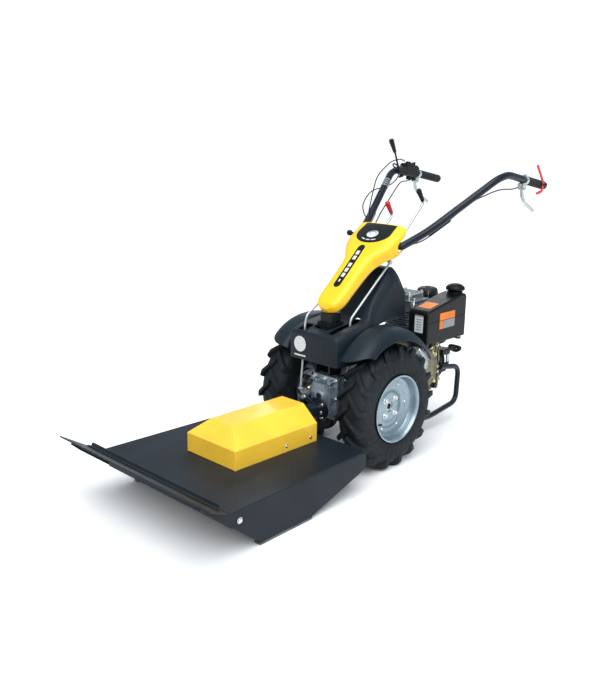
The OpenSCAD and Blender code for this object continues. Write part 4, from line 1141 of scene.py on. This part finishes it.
def cowl_point(u, v, w):
    """A point on the cowl: u runs up along its neck, v across it and w out of its top."""
    return (152 - u * math.cos(COWL_SLOPE) + w * math.sin(COWL_SLOPE), v,
            654 + u * math.sin(COWL_SLOPE) + w * math.cos(COWL_SLOPE))


def cowl_size(u):
    """Half width, middle height, depth and height of the cowl at u, eased between the stations."""
    if u <= STATIONS[0][0]:
        return STATIONS[0][1:]
    for i, (a, b) in enumerate(zip(STATIONS, STATIONS[1:])):
        if u <= b[0]:
            before, after = STATIONS[max(0, i - 1)], STATIONS[min(len(STATIONS) - 1, i + 2)]
            span = b[0] - a[0]
            t = (u - a[0]) / span
            out = []
            for k in (1, 2, 3, 4):
                m0 = (b[k] - before[k]) / (b[0] - before[0]) * span
                m1 = (after[k] - a[k]) / (after[0] - a[0]) * span
                out.append((2 * t ** 3 - 3 * t * t + 1) * a[k] + (t ** 3 - 2 * t * t + t) * m0
                           + (3 * t * t - 2 * t ** 3) * b[k] + (t ** 3 - t * t) * m1)
            return out
    return STATIONS[-1][1:]


def cowl_top(u, v):
    half, middle, _, high = cowl_size(u)
    c = min(1.0, abs(v) / half) ** (1 / FULL_ACROSS)
    return middle + high * math.sqrt(max(0.0, 1 - c * c)) ** FULL_UP


def hem_height(u):
    for a, b in zip(HEM, HEM[1:]):
        if u <= b[0]:
            return a[1] + (b[1] - a[1]) * (u - a[0]) / (b[0] - a[0])
    return HEM[-1][1]


def cowl():
    n = 49
    rings = []
    distances = ([-5, -3, 0, 4, 8, 13, 20, 28, 36] + [45 + 13 * k for k in range(14)]
                 + [224 + 9 * k for k in range(16)])
    distances += [365, 378, 391, 404, 417, 430, 440, 450, 458, 464, 468]
    for u in distances:
        half, middle, low, high = cowl_size(u)
        reach = (middle - hem_height(u)) / low
        first = -90.0 if reach >= 1 else -math.degrees(math.asin(reach ** (1 / FULL_UP)))
        ring = []
        for k in range(n):
            a = math.radians(first + (180 - 2 * first) * k / (n - 1))
            s, c = math.sin(a), math.cos(a)
            w = high * s ** FULL_UP if s > 0 else -low * (-s) ** FULL_UP
            ring.append(cowl_point(u, half * math.copysign(abs(c) ** FULL_ACROSS, c), middle + w))
        rings.append(ring)
    shape = Shape()
    points = [p for ring in rings for p in ring]
    faces = [(i * n + j, i * n + j + 1, (i + 1) * n + j + 1, (i + 1) * n + j)
             for i in range(len(rings) - 1) for j in range(n - 1)]
    faces.append(list(range(n - 1)))
    shape.add(points, faces)
    piece = shape.make("cowl_shell", "handlebar", cowl_plastic, ["cowl"], sharp=70)
    work = bmesh.new()
    work.from_mesh(piece.data)
    bmesh.ops.remove_doubles(work, verts=work.verts, dist=0.3 * MM)
    bmesh.ops.recalc_face_normals(work, faces=work.faces)
    work.to_mesh(piece.data)
    work.free()
    wall = piece.modifiers.new("wall", "SOLIDIFY")
    wall.thickness = 3 * MM
    wall.offset = -1
    cutters = [Shape().rod((-180, -160, 900), (-180, -100, 900), 6, steps=24)]
    notch = [(520, -10), (452, -10), (447, -19), (438, -22), (392, -21), (382, -23), (375, -30), (373, -42),
             (375, -54), (382, -59), (392, -61), (424, -61), (434, -64), (438, -72), (438, -130),
             (520, -130)]
    for side in (1, -1):
        shape = Shape()
        shape.prism(notch, lambda u, v, w, side=side: cowl_point(u, side * (70 + 110 * w), v))
        cutters.append(shape)
    cutters.append(Shape().prism(soft_rect(-20, -25, 62, 25, 10),
                                 lambda u, v, w: cowl_point(u, v, -130 + 89 * w)))
    # One cut at a time, the knob's hole first: taken together, they make the solver lose the shell
    for cutter in cutters:
        cut(piece, [cutter])
    piece.data.set_sharp_from_angle(angle=math.radians(50))


def on_surface(shape, outline, lift, skirt=2.5):
    """A thin plate that follows the cowl's top inside an outline of (u, v) points."""
    middle = (sum(u for u, v in outline) / len(outline), sum(v for u, v in outline) / len(outline))
    rings = []
    steps = 8
    for s in range(steps + 1):
        t = 1 - 0.97 * s / steps
        ring = []
        for u, v in outline:
            uu, vv = middle[0] + (u - middle[0]) * t, middle[1] + (v - middle[1]) * t
            ring.append(cowl_point(uu, vv, cowl_top(uu, vv) + (lift if s else lift - 0.5)))
        rings.append(ring)
    rim = [cowl_point(u, v, cowl_top(u, v) - skirt) for u, v in outline]
    shape.loft([rim] + rings)


def rounded_strip(u0, u1, half):
    """Outline of a strip with round ends, with points close enough to follow the cowl."""
    steps = 10
    out = []
    for centre, turn in ((u1 - half, -90), (u0 + half, 90)):
        for k in range(steps + 1):
            a = math.radians(turn + 180 * k / steps)
            out.append((centre + half * math.cos(a), half * math.sin(a)))
    dense = []
    for a, b in zip(out, out[1:] + out[:1]):
        pieces = max(1, int(math.dist(a, b) / 12))
        dense += [(a[0] + (b[0] - a[0]) * k / pieces, a[1] + (b[1] - a[1]) * k / pieces)
                  for k in range(pieces)]
    return dense


def dash():
    half_disc = []
    for k in range(41):
        a = math.radians(-90 + 180 * k / 40)
        half_disc.append((405 - 66 * math.cos(a), 85 * math.sin(a)))
    half_disc += [(405 + 14.5 * k, 85 - 1.2 * k) for k in range(1, 5)]
    half_disc += [(463.5, 80 - 160 * k / 20) for k in range(1, 20)]
    half_disc += [(463 - 14.5 * k, -80.2 - 1.2 * k) for k in range(4)]
    panel = Shape()
    on_surface(panel, half_disc, 1.4)
    panel.make("dash_face", "handlebar", panel_plastic, ["dash_panel"], sharp=55)
    strip = Shape()
    on_surface(strip, rounded_strip(96, 324, 17), 1.2)
    strip.make("cowl_strip", "handlebar", panel_plastic, sharp=55)
    disc = Shape()
    on_surface(disc, [(393 - 22 * math.cos(math.pi * k / 18), 27 * math.sin(math.pi * k / 18))
                      for k in range(36)], 2.2, 0)
    disc.make("dash_disc", "handlebar", ("panel_black", white_label), sharp=55)
    ring = Shape()
    for grow in (0.62, 0.8):
        ring.tube([cowl_point(393 - 22 * grow * math.cos(math.pi * k / 24),
                              27 * grow * math.sin(math.pi * k / 24),
                              cowl_top(393, 0) + 2.3) for k in range(49)], 0.9, 6)
    ring.make("dash_disc_ring", "handlebar", ("panel_black", grey_label))
    bars = Shape()
    for v0, v1 in ((-36, -16), (-10, 10), (16, 36)):
        outline = [(0, v0), (1, v0), (1, (v0 + v1) / 2), (1, v1), (0, v1), (0, (v0 + v1) / 2)]
        on_surface(bars, [(353 + 5 * t + 0.006 * v * v, v) for t, v in outline], 2.2, 0)
    bars.make("dash_bars", "handlebar", ("panel_black", white_label))
    marks = Shape()
    for u0, u1, half in ((124, 137, 4), (150, 170, 8), (177, 197, 8), (204, 224, 8), (242, 262, 8),
                         (269, 289, 8)):
        on_surface(marks, [(u0, -half), (u1, -half), (u1, half), (u0, half)], 1.9, 0)
    marks.make("strip_bars", "handlebar", ("panel_black", white_label))


GRIP_FALL = math.radians(-10.37)


def on_handle(side):
    return Matrix.Translation((-1007, side * 290, 1092)) @ Matrix.Rotation(GRIP_FALL, 4, "Y")


def handles():
    route = [(-178, 102, 872), (-178, 128, 872), (-300, 165, 925), (-620, 285, 1135), (-690, 290, 1150),
             (-1007, 290, 1092)]
    for side, word in SIDES:
        tubes = Shape()
        tubes.tube(bent_path([(x, side * y, z) for x, y, z in route], 60, 12), 16, 28)
        if side > 0:
            tubes.rod((-965.7, 304.5, 1099.6), (-965.7, 324.5, 1099.6), 4)
            tubes.revolve([(7, 0), (7, 2.4), (4, 3)], (-965.7, 327.2, 1099.6), (0, 1, 0), 6)
        tubes.make(f"{word}_handle_tube", "handlebar", frame_paint, [f"{word}_handle"], sharp=50)
        gusset = Shape()
        gusset.prism([(-318, 905), (-402, 958), (-412, 967), (-400, 972), (-306, 912)],
                     xz(side * 181 - 3, side * 181 + 3))
        gusset.points = [Vector((p.x, p.y + side * 0.375 * (-358 - p.x), p.z)) for p in gusset.points]
        gusset.make(f"{word}_handle_gusset", "handlebar", frame_paint, bevel=1)
        rubber = Shape(on_handle(side))
        rings = [(2, -4), (14, -4), (18.2, -3), (19, 0), (19, 6)]
        for k in range(22):
            x = 10 + 6.6 * k
            rings += [(19, x), (19, x + 3.4), (17.9, x + 4.2), (17.9, x + 5.8)]
        rings += [(19, 156), (19, 160.5), (18, 162), (16.2, 162)]
        rubber.revolve(rings, (0, 0, 0), (1, 0, 0), 40)
        rubber.make(f"{word}_grip_rubber", "handlebar", grip_rubber, ["grips"], sharp=28)
        clamp = Shape(on_handle(side))
        clamp.revolve([(16.2, 166), (21, 166), (22, 167), (22, 181), (21, 182), (16.2, 182)], (0, 0, 0),
                      (1, 0, 0), 40)
        for y0, y1 in ((-13, -8), (8, 13)):
            clamp.prism(soft_rect(172, -46, 200, -14, 9), xz(y0, y1))
        clamp.prism(soft_rect(170, -34, 178, -14, 3), xz(-12, 12))
        clamp.rod((190, -15, -36), (190, 15, -36), 4.6)
        clamp.hexagon((190, 13, -36), (190, 18, -36), 7)
        clamp.hexagon((174, 0, 20), (174, 0, 26), 5.5)
        clamp.rod((200, 0, -26), (214, 0, -26), 7)
        clamp.rod((212, 0, -26), (222, 0, -26), 4.5)
        clamp.make(f"{word}_lever_clamp", "handlebar", lever_metal, ["lever_brackets"], bevel=0.9, segments=2)
    bands = Shape()
    along = (Vector((-620, -285, 1135)) - Vector((-300, -165, 925))).normalized()
    for k in range(4):
        p = Vector((-560, -262.5, 1095.6)) - along * 15 * k
        bands.revolve([(16.1, 0), (17.3, 0.6), (17.3, 6.4), (16.1, 7)], p, along, 32)
    bands.make("cable_bands", "handlebar", lever_metal, sharp=30)


def hand_lever(side, word):
    lever = Shape(on_handle(side))
    path = bent_path([(190, 0, -36), (178, 0, -68), (146, 0, -96), (60, 0, -122)], 34, 12)
    rings = []
    count = len(path)
    for i, p in enumerate(path):
        t = i / (count - 1)
        ahead = (path[min(i + 1, count - 1)] - path[max(i - 1, 0)]).normalized()
        flat = Vector((0, 1, 0))
        up = ahead.cross(flat).normalized()
        wide = 7.2 + 1.6 * t
        deep = 6.2 - 2.6 * t + 1.5 * math.exp(-((t - 0.25) / 0.12) ** 2)
        if t > 0.94:
            wide, deep = wide * 1.05, deep * 1.5
        rings.append([p + flat * wide * math.copysign(abs(math.cos(b)) ** 0.6, math.cos(b))
                      + up * deep * math.copysign(abs(math.sin(b)) ** 0.6, math.sin(b))
                      for b in (2 * math.pi * j / 20 for j in range(20))])
    lever.loft(rings)
    lever.ball(path[-1], 7.6, 18)
    lever.revolve([(9, -7), (11.5, -6), (11.5, 6), (9, 7)], (190, 0, -36), (0, 1, 0), 28)
    lever.rod((190, -13, -36), (190, 13, -36), 4)
    lever.make(f"{word}_hand_lever_blade", f"{word}_lever", lever_metal, [f"{word}_hand_lever"], sharp=48)


def stop():
    lever = Shape()
    y0, y1 = 312.5, 316.5
    lever.prism([(-971, 1107), (-965, 1109), (-957, 1103), (-891.5, 1181), (-893, 1187), (-899, 1190),
                 (-905, 1188)], xz(y0, y1))
    lever.prism([(-972, 1096), (-962, 1072), (-955, 1064), (-912, 1056), (-906, 1057), (-903, 1067),
                 (-945, 1076), (-952, 1084), (-957, 1102)], xz(y0, y1))
    lever.revolve([(10.4, 0), (10.4, 4), (4.2, 4), (4.2, 0)], (-965.7, y0, 1099.6), (0, 1, 0), 36)
    lever.make("stop_lever_plate", "stop", red_plastic, ["stop_lever"], bevel=1.6)


def control_box():
    frame_here = on_handle(-1)
    box = Shape(frame_here)
    box.prism(soft_rect(-24, -26, 26, 29, 8), lambda u, v, w: (201 + 93 * w, u, v))
    shell = box.make("control_box_shell", "handlebar", control_plastic, ["control_box"], bevel=3.2,
                     segments=4)
    bore = Shape(frame_here).rod((190, 0, 0), (305, 0, 0), 16.4, steps=32)
    cut(shell, [bore])
    trim = Shape(frame_here)
    trim.prism(soft_rect(206, -22, 290, 22, 6), lambda u, v, w: (u, v, 28 + 3.4 * w))
    trim.revolve([(20, 0), (20, 3), (17, 4), (12, 4), (12, 0)], (262, 0, 31), (0, 0, 1), 36)
    trim.prism(soft_rect(214, -14, 234, 10, 4), lambda u, v, w: (u, v, 30 + 5 * w))
    trim.prism(soft_rect(-27, -18, -20, 20, 3), lambda u, v, w: (212 + 70 * w, u, v))
    trim.rod((280, -10, -26), (300, -14, -34), 8)
    trim.rod((240, 0, -26), (240, 0, -40), 13)
    trim.rod((218, 8, -26), (210, 10, -38), 9)
    for x, y in ((212, 17), (284, 17), (212, -17), (284, -17)):
        trim.revolve([(3.6, 0), (3.6, 0.8), (2.4, 1.6)], (x, y, 31.2), (0, 0, 1), 14)
    trim.make("control_box_trim", "handlebar", control_plastic, bevel=1.0, segments=2)
    plate = Shape()
    plate.prism([(-728, 1124), (-724, 1121), (-646, 1127), (-641, 1131), (-639, 1148), (-644, 1153),
                 (-722, 1161), (-728, 1157)],
                xz(-269.6, -266.2))
    plate.rod((-655, -269, 1140), (-655, -255.4, 1140), 4)
    plate.hexagon((-655, -255.4, 1140), (-655, -251, 1140), 6.5)
    plate.make("gear_lever_plate", "handlebar", control_plastic, ["control_box"], bevel=0.7, segments=2)
    loop = Shape(frame_here)
    loop.tube(bent_path([(292, -18, 10), (345, -26, 22), (362, -10, 4), (362, 18, -6), (330, 26, -4),
                         (292, 20, 0)], 18, 8), 3.4, 14)
    loop.make("loop_guard", "handlebar", control_plastic, sharp=60)
    lever = Shape(frame_here)
    lever.revolve([(5, 28), (5, 34.4), (12, 34.4), (13, 35.4), (13, 40.4), (11, 42.4), (0, 43)],
                  (262, 0, 0), (0, 0, 1), 32)
    lever.loft([[(262, -6, 34.8), (262, 6, 34.8), (262, 6, 41), (262, -6, 41)],
                [(236, -4, 35), (236, 4, 35), (236, 4, 40), (236, -4, 40)],
                [(222, -8, 35), (222, 8, 35), (222, 8, 44), (222, -8, 44)],
                [(216, -9, 35), (216, 9, 35), (216, 9, 48), (216, -9, 48)],
                [(213, -8, 36), (213, 8, 36), (213, 8, 47), (213, -8, 47)]])
    lever.make("throttle_thumb", "throttle", control_plastic, ["throttle_lever"], bevel=1.4)


def tapered_grip(shape, foot, tip, wide, narrow):
    """A moulded lever grip that widens to its rounded end, with shallow flutes."""
    foot, tip = Vector(foot), Vector(tip)
    axis = (tip - foot).normalized()
    u, v = across(axis)
    length = (tip - foot).length
    rings = []
    profile = [(0, 0.72), (0.02, 0.95), (0.05, 1), (0.12, 1.0), (0.85, 1), (0.93, 0.96), (0.975, 0.8),
               (1.0, 0.45)]
    for t, k in profile:
        r = (narrow + (wide - narrow) * t) * k
        flute = 0.5 if 0.1 < t < 0.9 else 0.0
        rings.append([foot + axis * length * t
                      + (r + flute * math.cos(14 * a)) * (math.cos(a) * u + math.sin(a) * v)
                      for a in (2 * math.pi * j / 56 for j in range(56))])
    shape.loft(rings)


def long_levers():
    gear = Shape()
    gear.revolve([(4.3, -4.2), (10, -4.2), (10.6, -3.4), (10.6, 3.4), (10, 4.2), (4.3, 4.2)],
                 (-655, -261, 1140), (0, 1, 0), 32)
    gear.tube([(-653, -261, 1144), (-641, -262, 1162), (-612, -262, 1229)], [5.2, 4.5, 4.5], 18)
    gear.make("gear_lever_rod", "gear", frame_paint, ["gear_lever"], sharp=45)
    knob = Shape()
    tapered_grip(knob, (-613, -262, 1226), (-578, -262, 1287), 12.4, 6.8)
    knob.make("gear_lever_knob", "gear", grip_rubber, ["gear_lever"], sharp=50)
    for word, side, reach, finish in (("red", -1, 195, red_plastic), ("black", 1, 280, grip_rubber)):
        y = side * 58
        bend = (-205 - 0.73 * reach, y, 838 + 0.68 * reach)
        end = (-165 - 0.73 * reach, y, 896 + 0.68 * reach)
        rod = Shape()
        rod.tube(bent_path([(-205, y, 838), bend, end], 16, 8), 5.5, 18)
        rod.revolve([(8.2, -8), (13.4, -8), (14, -7), (14, 7), (13.4, 8), (8.2, 8)], (-205, y, 838),
                    (0, 1, 0), 32)
        rod.prism([(-213, 830), (-197, 846), (-176, 818), (-171, 808), (-174, 800), (-180, 797),
                   (-187, 800)], xz(y - 5, y + 5))
        rod.make(f"{word}_lever_rod", word, white_rod, [f"{word}_lever"], bevel=0.8, segments=2)
        grip = Shape()
        axis = Matrix.Rotation(math.radians(215), 3, "Y") @ Vector((0, 0, 1))
        tip = Vector(end) - axis * 3
        foot = Vector(end) + axis * 61
        tapered_grip(grip, foot, tip, 11.6, 7.4)
        grip.make(f"{word}_lever_grip", word, finish, [f"{word}_lever"], sharp=50)


def shift_rods():
    routes = {"left": [(-176, 73, 800), (68, 73, 595), (69, 73, 545), (75, 80, 450), (100, 88, 350)],
              "right": [(-176, -73, 800), (165, -73, 606), (175, -73, 575), (185, -73, 430), (190, -80, 297)]}
    for word, route in routes.items():
        rod = Shape()
        rod.tube(bent_path(route, 18, 8), 4.5, 18)
        top, end = Vector(route[0]), Vector(route[-1])
        rod.revolve([(4.6, -5), (9.6, -5), (10, -4), (10, 4), (9.6, 5), (4.6, 5)], top, (0, 1, 0), 28)
        rod.rod(end + Vector((0, -9, 2)), end + Vector((0, 9, 2)), 4.6)
        rod.hexagon(end + Vector((0, 9, 2)), end + Vector((0, 13, 2)), 6.4)
        rod.tube([end + Vector((-1.5, 0.5, 14)), end + Vector((-4.5, 1.5, 40))], 5.6, 6)
        rod.make(f"{word}_shift_rod_bar", f"{word}_rod", white_rod, [f"{word}_shift_rod"], sharp=50)


def knob_and_cables():
    knob = Shape()
    knob.rod((-180, -150, 900), (-180, -106, 900), 5)
    knob.revolve([(7, 0), (10, 1), (12, 4), (12, 13), (10.6, 17), (7, 19.4), (0, 20)], (-180, -146, 900),
                 (0, -1, 0), 32)
    knob.make("lock_knob_head", "lock", grip_rubber, ["lock_knob"], sharp=50)
    routes = [
        [(-801, 290, 1098), (-740, 290, 1088), (-650, 282, 1088), (-570, 262, 1068), (-490, 228, 1028),
         (-300, 158, 896), (-232, 86, 862), (-160, 80, 840)],
        [(-720, -286, 1186), (-691, -290, 1193), (-630, -288, 1186), (-578, -283, 1165), (-502, -270, 1123),
         (-450, -250, 1068), (-363, -200, 990), (-280, -140, 957), (-190, -78, 900)],
        [(-706, -300, 1128), (-670, -300, 1092), (-586, -288, 1068), (-505, -275, 1064), (-433, -260, 1049),
         (-354, -230, 1005), (-323, -195, 967), (-280, -130, 935), (-185, -70, 896)],
        [(-801, -290, 1098), (-732, -278, 1091), (-651, -255, 1086), (-504, -200, 1023), (-388, -150, 979),
         (-289, -105, 935), (-200, -62, 908)]]
    sheath = Shape()
    ends = Shape()
    for route in routes:
        path = smooth_path(route, 9)
        sheath.tube(path, 2.7, 12)
        start = (path[3] - path[0]).normalized()
        ends.tube([path[0], path[0] + start * 14, path[0] + start * 16, path[0] + start * 24],
                  [4.6, 4.6, 3.6, 3.6], 16)
    sheath.make("cable_sheaths", "handlebar", cable_plastic, ["control_cables"], sharp=60)
    ends.make("cable_ferrules", "handlebar", lever_metal, sharp=40)


white_rod = surface("bright_bolts", (0.50, 0.54, 0.56), 0.3, metal=0.6, bump=0.1, grain=400, vary=0.06)
cowl()
dash()
handles()
for side, word in SIDES:
    hand_lever(side, word)
stop()
control_box()
long_levers()
shift_rods()
knob_and_cables()
